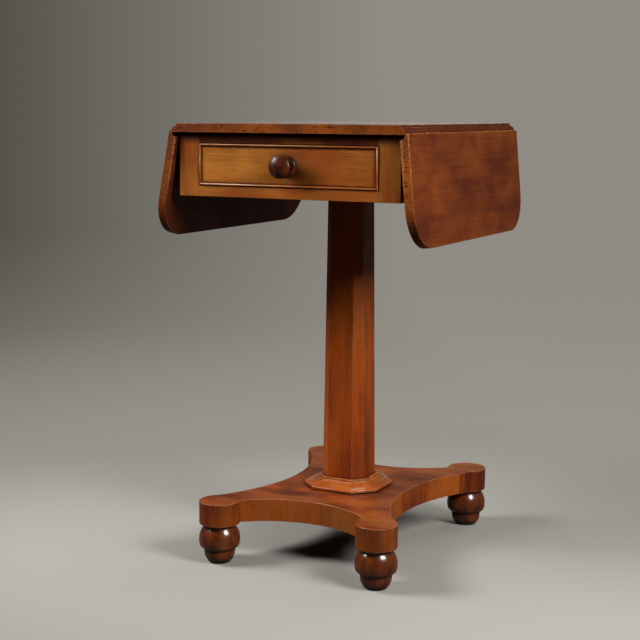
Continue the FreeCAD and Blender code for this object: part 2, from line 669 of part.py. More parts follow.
def drawer_knob():
    """Turned mushroom knob: base, neck with a ring, domed head, and a spigot through the drawer front."""
    def at(radius, height):
        return Vector(radius, 0, height)

    base_step = KNOB_BASE_RADIUS - KNOB_BASE_HEIGHT
    base_bend = KNOB_BASE_HEIGHT / math.sqrt(2)
    ring_middle = (KNOB_RING_BACK + KNOB_RING_FRONT) / 2
    rim_radius = KNOB_RADIUS - KNOB_RIM_ROUND
    rim_middle = (KNOB_RIM_BACK + KNOB_RIM_FRONT) / 2
    flare = at((KNOB_NECK_RADIUS + rim_radius) / 2, KNOB_RIM_BACK - KNOB_RIM_ROUND)
    ring_back = at(KNOB_NECK_RADIUS, KNOB_RING_BACK)
    ring_front = at(KNOB_NECK_RADIUS, KNOB_RING_FRONT)
    rise = KNOB_PROJECTION - KNOB_RIM_FRONT
    sphere = (rim_radius ** 2 + rise ** 2) / (2 * rise)
    dome = at(rim_radius / 2, KNOB_PROJECTION - sphere + math.sqrt(sphere ** 2 - rim_radius ** 2 / 4))
    tail = -DRAWER_FRONT_THICKNESS
    knob = turned(
        (at(0, tail), at(KNOB_SPIGOT_RADIUS, tail)),
        (at(KNOB_SPIGOT_RADIUS, tail), at(KNOB_SPIGOT_RADIUS, 0)),
        (at(KNOB_SPIGOT_RADIUS, 0), at(KNOB_BASE_RADIUS, 0)),
        (at(KNOB_BASE_RADIUS, 0), at(base_step + base_bend, base_bend), at(base_step, KNOB_BASE_HEIGHT)),
        (at(base_step, KNOB_BASE_HEIGHT), at(KNOB_NECK_RADIUS, KNOB_BASE_HEIGHT)),
        (at(KNOB_NECK_RADIUS, KNOB_BASE_HEIGHT), ring_back),
        (ring_back, at(KNOB_RING_RADIUS, ring_middle), ring_front),
        (ring_front, flare, at(rim_radius, KNOB_RIM_BACK)),
        (at(rim_radius, KNOB_RIM_BACK), at(KNOB_RADIUS, rim_middle), at(rim_radius, KNOB_RIM_FRONT)),
        (at(rim_radius, KNOB_RIM_FRONT), dome, at(0, KNOB_PROJECTION)),
        (at(0, KNOB_PROJECTION), at(0, tail)),
    )
    knob.rotate(ORIGIN, ALONG_X, 90)
    knob.translate(Vector(0, DRAWER_FACE, DRAWER_MIDDLE))
    return knob


def drawer_pieces():
    """Dovetailed drawer with a grooved-in bottom, cock beads and a knob."""
    tail_end = DRAWER_FRONT_BACK - TAIL_LENGTH
    front_tails = dovetails(DRAWER_FRONT_BACK, tail_end, DRAWER_PANEL_HIGH, DRAWER_SIDE_TOP)
    back_tails = dovetails(DRAWER_BACK_FACE, DRAWER_END, DRAWER_PANEL_HIGH, DRAWER_BACK_TOP)
    side = box(
        DRAWER_SIDE_INNER, DRAWER_HALF, DRAWER_FRONT_BACK, DRAWER_END, DRAWER_SIDE_BOTTOM, DRAWER_SIDE_TOP
    )
    groove = drawer_panel(DRAWER_GROOVE_FIT)
    back = box(-DRAWER_HALF, DRAWER_HALF, DRAWER_BACK_FACE, DRAWER_END, DRAWER_PANEL_HIGH, DRAWER_BACK_TOP)
    back_sockets = back_tails + [mirrored(tail) for tail in back_tails]
    back = back.cut(Part.makeCompound(back_sockets))
    side = fused([side] + front_tails).cut(Part.makeCompound([groove, back]))
    front = box(-DRAWER_HALF, DRAWER_HALF, DRAWER_FACE, DRAWER_FRONT_BACK, DRAWER_BOTTOM, DRAWER_TOP)
    beads = cock_beads()
    cuts = [solid for solids in beads.values() for solid in solids] + [groove, knob_hole()]
    cuts += front_tails + [mirrored(tail) for tail in front_tails]
    pieces = {
        "drawer_front": [front.cut(Part.makeCompound(cuts))],
        "drawer_right_side": [side],
        "drawer_left_side": [mirrored(side)],
        "drawer_back": [back],
        "drawer_bottom": [drawer_panel()],
        "drawer_knob": [drawer_knob()],
    }
    pieces.update(beads)
    return pieces


def octagon(half, chamfer, z):
    """Square wire with its corners cut off."""
    flat = half - chamfer
    corners = [(half, -flat), (half, flat), (flat, half), (-flat, half)]
    corners += [(-x, -y) for x, y in corners]
    points = [Vector(x, y, z) for x, y in corners]
    return Part.makePolygon(points + [points[0]])


def bearer_screws(fit=0.0):
    """Screws up through the bearer's laps into the inner sides."""
    x = OPENING_HALF + SIDE_THICKNESS / 2
    y = BEARER_SCREW_SPACING / 2
    sizes = (LONG_SCREW_RADIUS, LONG_SCREW_HEAD_RADIUS, BEARER_SCREW_LENGTH, fit)
    ends = [(side, end) for side in (-1, 1) for end in (-1, 1)]
    return [screw(Vector(side * x, end * y, BEARER_BOTTOM), *sizes) for side, end in ends]


def wedge(z_end, into):
    """Wedge across a column tenon, from its end face inwards."""
    half = COLUMN_HEAD_TENON_RADIUS
    tip = z_end + into * WEDGE_LENGTH
    face = polygon(
        Vector(-half, -WEDGE_THICKNESS / 2, z_end),
        Vector(-half, WEDGE_THICKNESS / 2, z_end),
        Vector(-half, WEDGE_TIP / 2, tip),
        Vector(-half, -WEDGE_TIP / 2, tip),
    )
    return face.extrude(Vector(2 * half, 0, 0))


def column_pieces():
    """Tapered column of square section with cut corners, its wedges, collar and bearer."""
    head_end = OPENING_BOTTOM - TENON_INSET
    foot_end = PLINTH_BOTTOM + TENON_INSET
    foot = octagon(COLUMN_FOOT_WIDTH / 2, COLUMN_FOOT_CHAMFER, PLINTH_TOP)
    head = octagon(COLUMN_HEAD_WIDTH / 2, COLUMN_HEAD_CHAMFER, BEARER_BOTTOM)
    shaft = Part.makeLoft([foot, head], True, True)
    head_base = Vector(0, 0, BEARER_BOTTOM)
    head_tenon = Part.makeCylinder(COLUMN_HEAD_TENON_RADIUS, head_end - BEARER_BOTTOM, head_base)
    foot_tenon = Part.makeCylinder(COLUMN_FOOT_TENON_RADIUS, PLINTH_TOP - foot_end, Vector(0, 0, foot_end))
    column = shaft.multiFuse([head_tenon, foot_tenon])
    head_wedge = wedge(head_end, -1).common(head_tenon)
    foot_wedge = wedge(foot_end, 1).common(foot_tenon)
    column = column.cut(Part.makeCompound([head_wedge, foot_wedge]))
    lap = box(-SIDE_OUTER, SIDE_OUTER, -BEARER_DEPTH / 2, BEARER_DEPTH / 2, BEARER_BOTTOM, FRAME_BOTTOM)
    inner = RUNNER_INNER - BEARER_GAP
    body = box(-inner, inner, -BEARER_DEPTH / 2, BEARER_DEPTH / 2, BEARER_BOTTOM, head_end)
    hole = Part.makeCylinder(COLUMN_HEAD_TENON_RADIUS + WOOD_FIT, FRAME_HEIGHT, head_base)
    bearer = fused([lap, body]).cut(Part.makeCompound([hole] + bearer_screws(SCREW_FIT)))
    return {
        "column": [column],
        "column_wedges": [head_wedge, foot_wedge],
        "pedestal_bearer": [bearer],
        "column_collar": [column_collar()],
    }


def column_collar():
    """Moulding mitred round the foot of the column, a hollow slope between a nose and a fillet."""
    half = COLUMN_FOOT_WIDTH / 2 + COLLAR_FIT
    rise = PLINTH_TOP + COLLAR_HEIGHT
    inner = half
    outer = half + COLLAR_SPREAD
    ledge = half + COLLAR_LEDGE
    low = PLINTH_TOP + COLLAR_EDGE
    high = rise - COLLAR_FILLET

    def at(x, z):
        return Vector(x, 0, z)

    bend = COLLAR_NOSE - COLLAR_NOSE / math.sqrt(2)
    start = at(outer - COLLAR_NOSE, low + COLLAR_NOSE)
    end = at(ledge + COLLAR_STEP, high)
    slope = end - start
    hollow = (start + end) / 2 + Vector(slope.z, 0, -slope.x).normalize() * -COLLAR_HOLLOW
    section = outline(
        (at(inner, PLINTH_TOP), at(outer, PLINTH_TOP)),
        (at(outer, PLINTH_TOP), at(outer, low)),
        (at(outer, low), at(outer - bend, low + COLLAR_NOSE - bend), start),
        (start, hollow, end),
        (end, at(ledge, high)),
        (at(ledge, high), at(ledge, rise)),
        (at(ledge, rise), at(inner, rise)),
        (at(inner, rise), at(inner, PLINTH_TOP)),
    )
    path = octagon(half, COLUMN_FOOT_CHAMFER, PLINTH_TOP)
    return path.makePipeShell([section.OuterWire], True, False, 1)


def circle_meeting(centre_a, radius_a, centre_b, radius_b):
    """Both points where two circles cross in plan."""
    span = centre_b - centre_a
    distance = span.Length
    along = (distance ** 2 + radius_a ** 2 - radius_b ** 2) / (2 * distance)
    across = math.sqrt(radius_a ** 2 - along ** 2)
    unit = span / distance
    normal = Vector(-unit.y, unit.x, 0)
    base = centre_a + unit * along
    return base + normal * across, base - normal * across


def plinth_outline():
    """Platform with hollow sides between round lobes."""
    lobe = Vector(FOOT_X, -FOOT_Y, PLINTH_BOTTOM)
    front_waist = Vector(0, -PLINTH_WAIST_DEPTH / 2, PLINTH_BOTTOM)
    side_waist = Vector(PLINTH_WAIST_WIDTH / 2, 0, PLINTH_BOTTOM)
    front_centre = front_waist - ALONG_Y * FRONT_HOLLOW_RADIUS
    side_centre = side_waist + ALONG_X * SIDE_HOLLOW_RADIUS
    front_join = max(circle_meeting(lobe, LOBE_RADIUS, front_centre, FRONT_HOLLOW_RADIUS), key=lambda p: p.y)
    side_join = min(circle_meeting(lobe, LOBE_RADIUS, side_centre, SIDE_HOLLOW_RADIUS), key=lambda p: p.x)
    tip = lobe + Vector(1, -1, 0).normalize() * LOBE_RADIUS

    def flip(point, x_sign, y_sign):
        return Vector(point.x * x_sign, point.y * y_sign, point.z)

    runs = []
    for sign in (1, -1):
        near_left = flip(front_join, -sign, sign)
        near_right = flip(front_join, sign, sign)
        runs.append((near_left, flip(front_waist, sign, sign), near_right))
        runs.append((near_right, flip(tip, sign, sign), flip(side_join, sign, sign)))
        runs.append((flip(side_join, sign, sign), flip(side_waist, sign, sign), flip(side_join, sign, -sign)))
        runs.append((flip(side_join, sign, -sign), flip(tip, sign, -sign), flip(front_join, sign, -sign)))
    return outline(*runs)


def ball_radius(ball, middle, height):
    """Radius at a height of a ball turned on the foot's axis."""
    return math.sqrt(ball ** 2 - (height - middle) ** 2)


def bun_foot(x, y):
    """Turned foot: a cup, a step, a ball-shaped bun and a neck, with a spigot up into the plinth."""
    def at(radius, height):
        return Vector(radius, 0, height)

    neck_height = PLINTH_BOTTOM - FOOT_NECK
    neck_radius = ball_radius(FOOT_RADIUS, FOOT_BULGE_HEIGHT, neck_height)
    neck = at(neck_radius, neck_height)
    base = at(ball_radius(CUP_RADIUS, CUP_BULGE_HEIGHT, 0), 0)
    cup_rim = at(ball_radius(CUP_RADIUS, CUP_BULGE_HEIGHT, FOOT_STEP_HEIGHT), FOOT_STEP_HEIGHT)
    rim_height = FOOT_STEP_HEIGHT + FOOT_RIM_RADIUS
    rim = at(ball_radius(FOOT_RADIUS - FOOT_RIM_RADIUS, FOOT_BULGE_HEIGHT, rim_height), rim_height)
    outward = (rim - at(0, FOOT_BULGE_HEIGHT)).normalize()
    rim_end = rim + outward * FOOT_RIM_RADIUS
    rim_start = rim - ALONG_Z * FOOT_RIM_RADIUS
    rim_middle = rim + (outward - ALONG_Z).normalize() * FOOT_RIM_RADIUS
    top = PLINTH_BOTTOM + FOOT_SPIGOT_LENGTH
    foot = turned(
        (at(0, 0), base),
        (base, at(CUP_RADIUS, CUP_BULGE_HEIGHT), cup_rim),
        (cup_rim, rim_start),
        (rim_start, rim_middle, rim_end),
        (rim_end, at(FOOT_RADIUS, FOOT_BULGE_HEIGHT), neck),
        (neck, at(neck_radius, PLINTH_BOTTOM)),
        (at(neck_radius, PLINTH_BOTTOM), at(FOOT_SPIGOT_RADIUS, PLINTH_BOTTOM)),
        (at(FOOT_SPIGOT_RADIUS, PLINTH_BOTTOM), at(FOOT_SPIGOT_RADIUS, top)),
        (at(FOOT_SPIGOT_RADIUS, top), at(0, top)),
        (at(0, top), at(0, 0)),
    )
    foot.translate(Vector(x, y, 0))
    return foot


def base_pieces():
    """Plinth drilled for the column and the feet, and the four feet."""
    plinth = plinth_outline().extrude(Vector(0, 0, PLINTH_THICKNESS))
    low = Vector(0, 0, PLINTH_BOTTOM - CUT_OVERRUN)
    through = PLINTH_THICKNESS + 2 * CUT_OVERRUN
    cuts = [Part.makeCylinder(COLUMN_FOOT_TENON_RADIUS + WOOD_FIT, through, low)]
    pieces = {}
    for end, y in (("front", -FOOT_Y), ("back", FOOT_Y)):
        for side, x in (("left", -FOOT_X), ("right", FOOT_X)):
            pieces["foot_" + end + "_" + side] = [bun_foot(x, y)]
            socket = FOOT_SPIGOT_LENGTH + WOOD_FIT + CUT_OVERRUN
            cuts.append(Part.makeCylinder(FOOT_SPIGOT_RADIUS + WOOD_FIT, socket, low + Vector(x, y, 0)))
    pieces["base_plinth"] = [plinth.cut(Part.makeCompound(cuts))]
    return pieces


def main():
    """Write each piece, in place, to its own file."""
    pieces = {"top_board": [top_board()], "top_fixing_screws": top_screws(), "bearer_screws": bearer_screws()}
    for group in (leaf_pieces, frame_pieces, fly_pieces, drawer_pieces, column_pieces, base_pieces):
        pieces.update(group())
    os.makedirs("parts", exist_ok=True)
    for name, solids in pieces.items():
        shape = solids[0] if len(solids) == 1 else Part.makeCompound(solids)
        shape.exportStep(os.path.join("parts", name + ".step"))


main()
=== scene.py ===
import json
import math
import random

import bmesh
import bpy
import numpy as np
from mathutils import Matrix, Vector

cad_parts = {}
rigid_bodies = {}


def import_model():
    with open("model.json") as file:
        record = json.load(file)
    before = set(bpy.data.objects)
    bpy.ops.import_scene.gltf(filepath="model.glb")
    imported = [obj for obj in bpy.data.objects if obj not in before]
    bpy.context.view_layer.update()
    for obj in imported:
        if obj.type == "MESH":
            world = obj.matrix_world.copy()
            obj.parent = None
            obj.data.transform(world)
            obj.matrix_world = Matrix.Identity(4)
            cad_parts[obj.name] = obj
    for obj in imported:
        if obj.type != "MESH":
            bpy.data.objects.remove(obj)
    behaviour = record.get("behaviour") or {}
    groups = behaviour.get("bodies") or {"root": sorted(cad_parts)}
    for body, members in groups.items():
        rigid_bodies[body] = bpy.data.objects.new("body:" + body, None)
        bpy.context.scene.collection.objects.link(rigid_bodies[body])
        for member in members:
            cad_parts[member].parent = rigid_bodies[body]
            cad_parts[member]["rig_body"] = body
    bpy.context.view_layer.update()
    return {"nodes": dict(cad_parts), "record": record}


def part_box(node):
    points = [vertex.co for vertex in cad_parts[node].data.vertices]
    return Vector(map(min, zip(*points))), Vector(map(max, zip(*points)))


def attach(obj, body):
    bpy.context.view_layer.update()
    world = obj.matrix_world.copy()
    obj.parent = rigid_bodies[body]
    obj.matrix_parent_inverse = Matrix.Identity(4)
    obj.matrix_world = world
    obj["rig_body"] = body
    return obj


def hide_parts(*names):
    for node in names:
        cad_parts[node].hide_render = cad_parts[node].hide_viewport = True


bl_info = {
    "name": "Pembroke Table",
    "version": (1, 0, 0),
    "blender": (4, 5, 0),
    "location": "View3D > Sidebar > Table",
    "description": "Dresses a drop-leaf pedestal table in eased boards, polished mahogany and iron fittings",
    "category": "Object",
}

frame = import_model()
body_of = {node: piece["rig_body"] for node, piece in frame["nodes"].items()}
slot_of = {row["node"]: row["material_slot"] for row in frame["record"]["subparts"]}

MM = 0.001  # one millimetre in metres
ALONG_X = Vector((1, 0, 0))
ALONG_Y = Vector((0, 1, 0))
ALONG_Z = Vector((0, 0, 1))
MERGE = 0.002 * MM  # corners closer than this are one
FLAT = math.radians(0.1)  # faces that meet at less than this are one
ARRIS_ANGLE = math.radians(28)  # edges sharper than this are eased
SMOOTH_ANGLE = math.radians(40)
BEVEL_STEPS = 2
BOARD_SHIFT = np.array((1.37, 0.71, 0.53))  # each board is cut from another place in the log, metres


def linear(code):
    """Linear RGBA of an sRGB hex colour."""
    shares = [int(code[start:start + 2], 16) / 255 for start in (0, 2, 4)]
    return (*[s / 12.92 if s <= 0.04045 else ((s + 0.055) / 1.055) ** 2.4 for s in shares], 1.0)


def length(name, millimetres, description):
    """Property for a size, given in millimetres and kept in metres."""
    return bpy.props.FloatProperty(
        name=name, description=description, default=millimetres * MM, min=0, unit="LENGTH"
    )


def colour(name, code, description):
    """Property for a colour, given in sRGB hex and kept linear."""
    return bpy.props.FloatVectorProperty(
        name=name, description=description, default=linear(code), size=4, min=0, max=1, subtype="COLOR"
    )


class TableSizes(bpy.types.PropertyGroup):
    """Sizes of the softened edges, the collar's moulding and the screws."""

    board_arris: length("Board arris", 0.7, "Rounding of a planed and worn edge")
    column_arris: length("Column arris", 1.0, "Rounding of the column's long edges")
    plinth_arris: length("Plinth arris", 0.9, "Rounding of the plinth's edges")
    turned_arris: length("Turned arris", 0.7, "Rounding of the edges of turned pieces")
    collar_arris: length("Collar arris", 0.4, "Rounding of the collar's mitres and edges")
    collar_chamfer: length("Collar chamfer", 15.9, "Cut corner of the octagon inside the collar")
    collar_spread: length("Collar spread", 29.7, "Width of the collar round the column")
    collar_gap: length("Collar gap", 1.5, "Dark joint under the collar's edge")
    collar_undercut: length("Collar undercut", 3.0, "How far the joint under the edge goes in")
    collar_edge: length("Collar edge", 2.6, "Height of the upright edge at the foot of the collar")
    collar_nose: length("Collar nose", 2.4, "Rounding above the collar's upright edge")
    collar_hollow: length("Collar hollow", 2.6, "Depth of the collar's hollow slope")
    collar_fillet: length("Collar fillet", 4.2, "Height of the small step round the column")
    collar_ledge: length("Collar ledge", 5.5, "Width of the small step round the column")
    collar_step: length("Collar step", 1.6, "Flat in front of the small step")
    screw_slot_width: length("Screw slot width", 0.9, "Width of the slot in a screw's head")
    screw_slot_depth: length("Screw slot depth", 0.8, "Depth of the slot in a screw's head")


class TableColours(bpy.types.PropertyGroup):
    """Colours of the woods, the iron and the studio."""

    faded_light: colour("Faded mahogany, light", "C47A30", "Early wood of the sun-faded frame and drawer")
    faded_dark: colour("Faded mahogany, dark", "5A290C", "Late wood and pores of the sun-faded frame")
    faded_blush: colour("Faded mahogany, blush", "9A4416", "Patches that the sun has left redder")
    faded_worn: colour("Faded mahogany, worn", "DDA878", "Rubbed arrises of the sun-faded frame")
    # Also the colour of the painted shade under the top's edge, by the knob and inside the beads.
    soil_and_shade: colour("Soil", "36100A", "Dark red wax and dirt from hands on the drawer front")
    leaf_light: colour("Leaf mahogany, light", "A8561C", "Early wood of the leaves")
    leaf_dark: colour("Leaf mahogany, dark", "4E1F0C", "Late wood and pores of the leaves")
    leaf_blush: colour("Leaf mahogany, blush", "7C2E10", "Redder clouds in the leaves")
    leaf_worn: colour("Leaf mahogany, worn", "DE9C58", "Rubbed arrises of the leaves")
    red_light: colour("Red mahogany, light", "B04C10", "Early wood of the pedestal")
    red_dark: colour("Red mahogany, dark", "4A1808", "Late wood and pores of the pedestal")
    red_blush: colour("Red mahogany, blush", "AE6020", "Golden veneer in the pedestal")
    red_worn: colour("Red mahogany, worn", "D8A070", "Rubbed arrises of the pedestal")
    plinth_light: colour("Plinth mahogany, light", "AC5216", "Early wood of the plinth's veneers")
    plinth_dark: colour("Plinth mahogany, dark", "5C240E", "Late wood and pores of the plinth's veneers")
    plinth_blush: colour("Plinth mahogany, blush", "A8602A", "Tan patches of the plinth's veneers")
    plinth_worn: colour("Plinth mahogany, worn", "E0B48C", "Rubbed edges of the plinth")
    collar_light: colour("Collar mahogany, light", "C4601A", "Early wood of the collar")
    collar_dark: colour("Collar mahogany, dark", "5A220A", "Late wood and pores of the collar")
    collar_blush: colour("Collar mahogany, blush", "C26C24", "Golden patches of the collar")
    # Pale enough that the rubbed mitres also paint highlights.
    collar_worn: colour("Collar mahogany, worn", "E8B888", "Rubbed edges of the collar")
    dark_light: colour("Dark mahogany, light", "94491A", "Early wood of the feet and the knob")
    dark_dark: colour("Dark mahogany, dark", "260E06", "Late wood and grime of the feet and the knob")
    dark_blush: colour("Dark mahogany, blush", "5E220C", "Redder patches of the feet and the knob")
    dark_worn: colour("Dark mahogany, worn", "A8683A", "Rubbed edges of the feet and the knob")
    pine_light: colour("Pine, light", "C49A62", "Early wood of the inner boards")
    pine_dark: colour("Pine, dark", "8A5F34", "Late wood of the inner boards")
    pine_blush: colour("Pine, blush", "8A5F34", "Darker boards of this wood")
    pine_worn: colour("Pine, worn", "D8B888", "Rubbed edges of the inner boards")
    oak_light: colour("Oak, light", "A9814F", "Early wood of the drawer's sides and its runners")
    oak_dark: colour("Oak, dark", "6E4C2A", "Pores of the drawer's sides and its runners")
    oak_blush: colour("Oak, blush", "6E4C2A", "Darker boards of this wood")
    oak_worn: colour("Oak, worn", "C4A272", "Rubbed edges of the drawer's sides and its runners")
    beech_light: colour("Beech, light", "B98A5A", "Early wood of the fly rails and brackets")
    beech_dark: colour("Beech, dark", "8C5E38", "Flecks of the fly rails and brackets")
    beech_blush: colour("Beech, blush", "8C5E38", "Darker boards of this wood")
    beech_worn: colour("Beech, worn", "D2AC80", "Rubbed edges of the fly rails and brackets")
    iron_bright: colour("Iron, bright", "6A6560", "Rubbed high spots of the hinges and screws")
    iron_dull: colour("Iron, dull", "3A322C", "Oxide skin of the hinges and screws")
    floor: colour("Floor", "ABA8A0", "Painted studio floor")
    far_floor: colour("Floor, far", "9A978C", "Studio floor away from the lamps")
    wall_shade: colour("Wall in shade", "504D46", "Studio wall away from the lamps")
    wall_light: colour("Wall in light", "8F8B84", "Studio wall near the lamps")
    studio_dim: colour("Studio, dim", "4A4845", "What the studio gives back to the table's own surfaces")


def add(tree, kind, inputs=None, **settings):
    """Add a node with its settings, and set or link its inputs."""
    made = tree.nodes.new(kind)
    for key, value in settings.items():
        setattr(made, key, value)
    for key, value in (inputs or {}).items():
        if isinstance(value, bpy.types.NodeSocket):
            tree.links.new(value, made.inputs[key])
        else:
            made.inputs[key].default_value = value
    return made


# A finish is the wood's colours, how glossy its polish is, how far its marks swing between the dark
# and the light colour, the share of its other marks, and the marks' sizes in millimetres, along and
# across the grain. Pores and streaks are drawn some three times as coarse as the real ones, because
# those are finer than a pixel.
FINISHES = {
    # The sun has taken the red: honey brown in soft clouds, under a thin old polish that barely shines.
    "faded_mahogany": {
        "name": "polished_faded_mahogany", "tones": "faded", "roughness": 0.40, "gloss": 0.12, "coat": 0.15,
        "swing": {"ribbon": 1.0, "streak": 0.9, "cloud": 1.6},
        # Its darkening close under the top's edge is painted shade of the top.
        "blush": 0.75, "wear": 0.3, "pits": 0.35, "ends": 0.1, "overhang_shade": True,
        "ribbon": (420, 26), "streak": (110, 3.4), "cloud": (85, 40), "pore": (16, 1.5),
    },
    # The one surface with a full French polish: long quiet figure under a clear skin that mirrors the room.
    "top_mahogany": {
        "name": "french_polished_mahogany", "tones": "leaf", "roughness": 0.36, "gloss": 0.15, "coat": 0.90,
        "swing": {"ribbon": 0.6, "streak": 0.6, "cloud": 0.65},
        "blush": 0.7, "wear": 0.4, "pits": 0.35, "ends": 0.65,
        "ribbon": (420, 26), "streak": (110, 3.4), "cloud": (230, 55), "pore": (16, 1.5),
    },
    # Thin strips rubbed bright by dusting: a pale line of light along a dark edge.
    "bead_mahogany": {
        "name": "burnished_bead_mahogany", "tones": "faded", "roughness": 0.36, "gloss": 0.30, "coat": 0.20,
        "swing": {"ribbon": 0.6, "streak": 0.6, "cloud": 1.0},
        "blush": 0.8, "wear": 0.7, "pits": 0.4, "ends": 0.1,
        "ribbon": (200, 12), "streak": (70, 3.0), "cloud": (40, 20), "pore": (12, 1.4),
    },
    # Waxed, not polished: a dull red-brown with wide clouds, golden flecked ends and pale rubbed arrises.
    "leaf_mahogany": {
        "name": "waxed_leaf_mahogany", "tones": "leaf", "roughness": 0.44, "gloss": 0.15, "coat": 0.08,
        "swing": {"ribbon": 0.3, "streak": 0.25, "cloud": 0.8},
        "blush": 0.7, "wear": 0.9, "pits": 0.2, "ends": 1.0,
        "ribbon": (360, 30), "streak": (150, 4.5), "cloud": (100, 55), "pore": (14, 1.5),
    },
    # Straight red veneer on the column, ribbons running its whole length under a soft sheen; its pale rubbed
    # arrises also stand for painted highlights.
    "red_mahogany": {
        "name": "polished_red_mahogany", "tones": "red", "roughness": 0.38, "gloss": 0.22, "coat": 0.18,
        "swing": {"ribbon": 0.85, "streak": 0.6, "cloud": 0.8},
        "blush": 0.4, "wear": 0.9, "pits": 0.35, "ends": 0.3,
        "ribbon": (300, 22), "streak": (120, 4.0), "cloud": (110, 45), "pore": (14, 1.5),
    },
    # Lively veneer with dark and tan patches close together, and edges rubbed pale by shoes.
    "plinth_mahogany": {
        "name": "veneered_plinth_mahogany", "tones": "plinth", "roughness": 0.34, "gloss": 0.20, "coat": 0.26,
        "swing": {"ribbon": 0.9, "streak": 0.9, "cloud": 1.5},
        "blush": 0.85, "wear": 0.9, "pits": 0.5, "ends": 0.3,
        "ribbon": (170, 26), "streak": (90, 4.0), "cloud": (62, 34), "pore": (14, 1.5),
    },
    # Burnished moulding: bright orange slopes with sharp small lights on the mitres, partly painted by its
    # pale rubbed mitres.
    "collar_mahogany": {
        "name": "burnished_collar_mahogany", "tones": "collar", "roughness": 0.24, "gloss": 0.50, "coat": 0.8,
        "swing": {"ribbon": 0.85, "streak": 0.6, "cloud": 1.0},
        "blush": 0.9, "wear": 1.2, "pits": 0.35, "ends": 0.3,
        "ribbon": (160, 12), "streak": (60, 3.0), "cloud": (40, 16), "pore": (12, 1.4),
    },
    # Turned on the lathe and polished on it: nearly black-brown, with a clear window of light on each round.
    "dark_mahogany": {
        "name": "polished_dark_mahogany", "tones": "dark", "roughness": 0.24, "gloss": 0.50, "coat": 0.60,
        "swing": {"ribbon": 0.6, "streak": 0.5, "cloud": 1.6},
        "blush": 0.5, "wear": 0.45, "pits": 0.30, "ends": 0.2,
        "ribbon": (120, 14), "streak": (60, 3.0), "cloud": (22, 14), "pore": (12, 1.4),
    },
    # The same turned wood dulled by hands: even and brown, with only a soft light.
    "knob_mahogany": {
        "name": "handled_knob_mahogany", "tones": "dark", "roughness": 0.40, "gloss": 0.14, "coat": 0.16,
        "swing": {"ribbon": 0.4, "streak": 0.3, "cloud": 0.8},
        "blush": 0.5, "wear": 0.3, "pits": 0.30, "ends": 0.0,
        "ribbon": (120, 14), "streak": (60, 3.0), "cloud": (22, 14), "pore": (12, 1.4),
    },
    # Planed and never finished: pale and matt, with fine straight growth lines.
    "pine": {
        "name": "bare_pine", "tones": "pine", "roughness": 0.62, "gloss": 0.30, "coat": 0.0,
        "swing": {"ribbon": 0.9, "streak": 0.6, "cloud": 0.5},
        "blush": 0.2, "wear": 0.25, "pits": 0.1, "ends": 0.3,
        "ribbon": (600, 12), "streak": (260, 3.4), "cloud": (240, 120), "pore": (30, 2.0),
    },
    # Bare and matt like the pine, but browner, and scored all over by long open pores.
    "oak": {
        "name": "bare_oak", "tones": "oak", "roughness": 0.60, "gloss": 0.30, "coat": 0.0,
        "swing": {"ribbon": 0.6, "streak": 0.7, "cloud": 0.5},
        "blush": 0.2, "wear": 0.25, "pits": 0.6, "ends": 0.3,
        "ribbon": (400, 10), "streak": (120, 2.6), "cloud": (240, 120), "pore": (22, 1.6),
    },
    # Close-grained and worn smooth where it rubs: plain tan with short dark flecks.
    "beech": {
        "name": "bare_beech", "tones": "beech", "roughness": 0.55, "gloss": 0.30, "coat": 0.05,
        "swing": {"ribbon": 0.5, "streak": 0.5, "cloud": 0.5},
        "blush": 0.2, "wear": 0.25, "pits": 0.5, "ends": 0.3,
        "ribbon": (400, 20), "streak": (160, 5.0), "cloud": (240, 120), "pore": (5, 1.6),
    },
}
# The drawer front is the frame's wood, soiled where hands reach for the knob, with the knob's shadow and the
# shade inside the beads painted on it as well.
FINISHES["drawer_mahogany"] = {
    **FINISHES["faded_mahogany"], "name": "handled_faded_mahogany", "handled": True,
}
MARK_DETAIL = {"ribbon": 3.0, "streak": 4.0, "cloud": 2.0, "pore": 2.0, "fleck": 3.0, "blush": 2.0}
MARK_BEND = 0.3  # how far every mark wanders from a straight line
MARK_SIZE = {  # marks that are the same in every finish, millimetres
    "fleck": (9.0, 8.0, 2.6),  # growth rings and vessels cut across at a board's end
    "blush": (190.0, 75.0),  # patches that the sun or another veneer has turned another colour
}
ARRIS_WEAR = 2.2  # how far rubbing reaches from an arris, millimetres
GRIME_AND_SHADE_REACH = 11.0  # how far dirt and painted corner shade reach out of a corner, millimetres
# Each share of a mark: what it is read from, where that begins and ends, and the share there.
# A word as the last share is looked up in the finish.
SHARES = {
    "bleached": ("tone", 0.20, 0.40, 0.0, 1.0),
    "patch": ("blush", 0.44, 0.66, 0.0, "blush"),
    "pits": ("pore", 0.58, 0.70, 0.0, "pits"),
    "cut": ("end_grain", 0.75, 0.97, 0.0, 0.95),
    "flecked": ("fleck", 0.56, 0.66, 0.0, 0.9),
    "golden": ("tone", -0.10, 0.15, 0.0, "ends"),
    "ripple": ("cloud", 0.36, 0.64, 0.4, 1.2),
    "rubbed": ("bend", 0.99, 0.86, 0.0, "wear"),
    "patchy": ("fleck", 0.42, 0.58, 0.0, 1.0),
    # clean: corners darkened by ambient occlusion, painted shade that also stands for dirt.
    "clean_and_unshaded": ("open_air", 0.25, 0.90, 0.12, 1.0),
}
LIMITED = (("patch", "bleached"), ("golden", "ripple"), ("rubbed", "patchy"), ("rubbed", "open_air"))
MATTE_CLOUD = (0.3, 0.7)  # clouds between which the polish goes from dull to bright
MATTE_SWING = (0.08, -0.05)
COAT_ROUGHNESS = 0.12
RELIEF = 0.15  # open grain felt through the polish: strength, and depth in millimetres
HANDLED_SHADE_PLACE = (18.0, 0.0, -12.0)  # patch of hand dirt and painted knob shadow, from the middle of the drawer front, millimetres
HANDLED_SHADE_REACH = (46.0, 20.0, 26.0)  # how far that patch goes each way
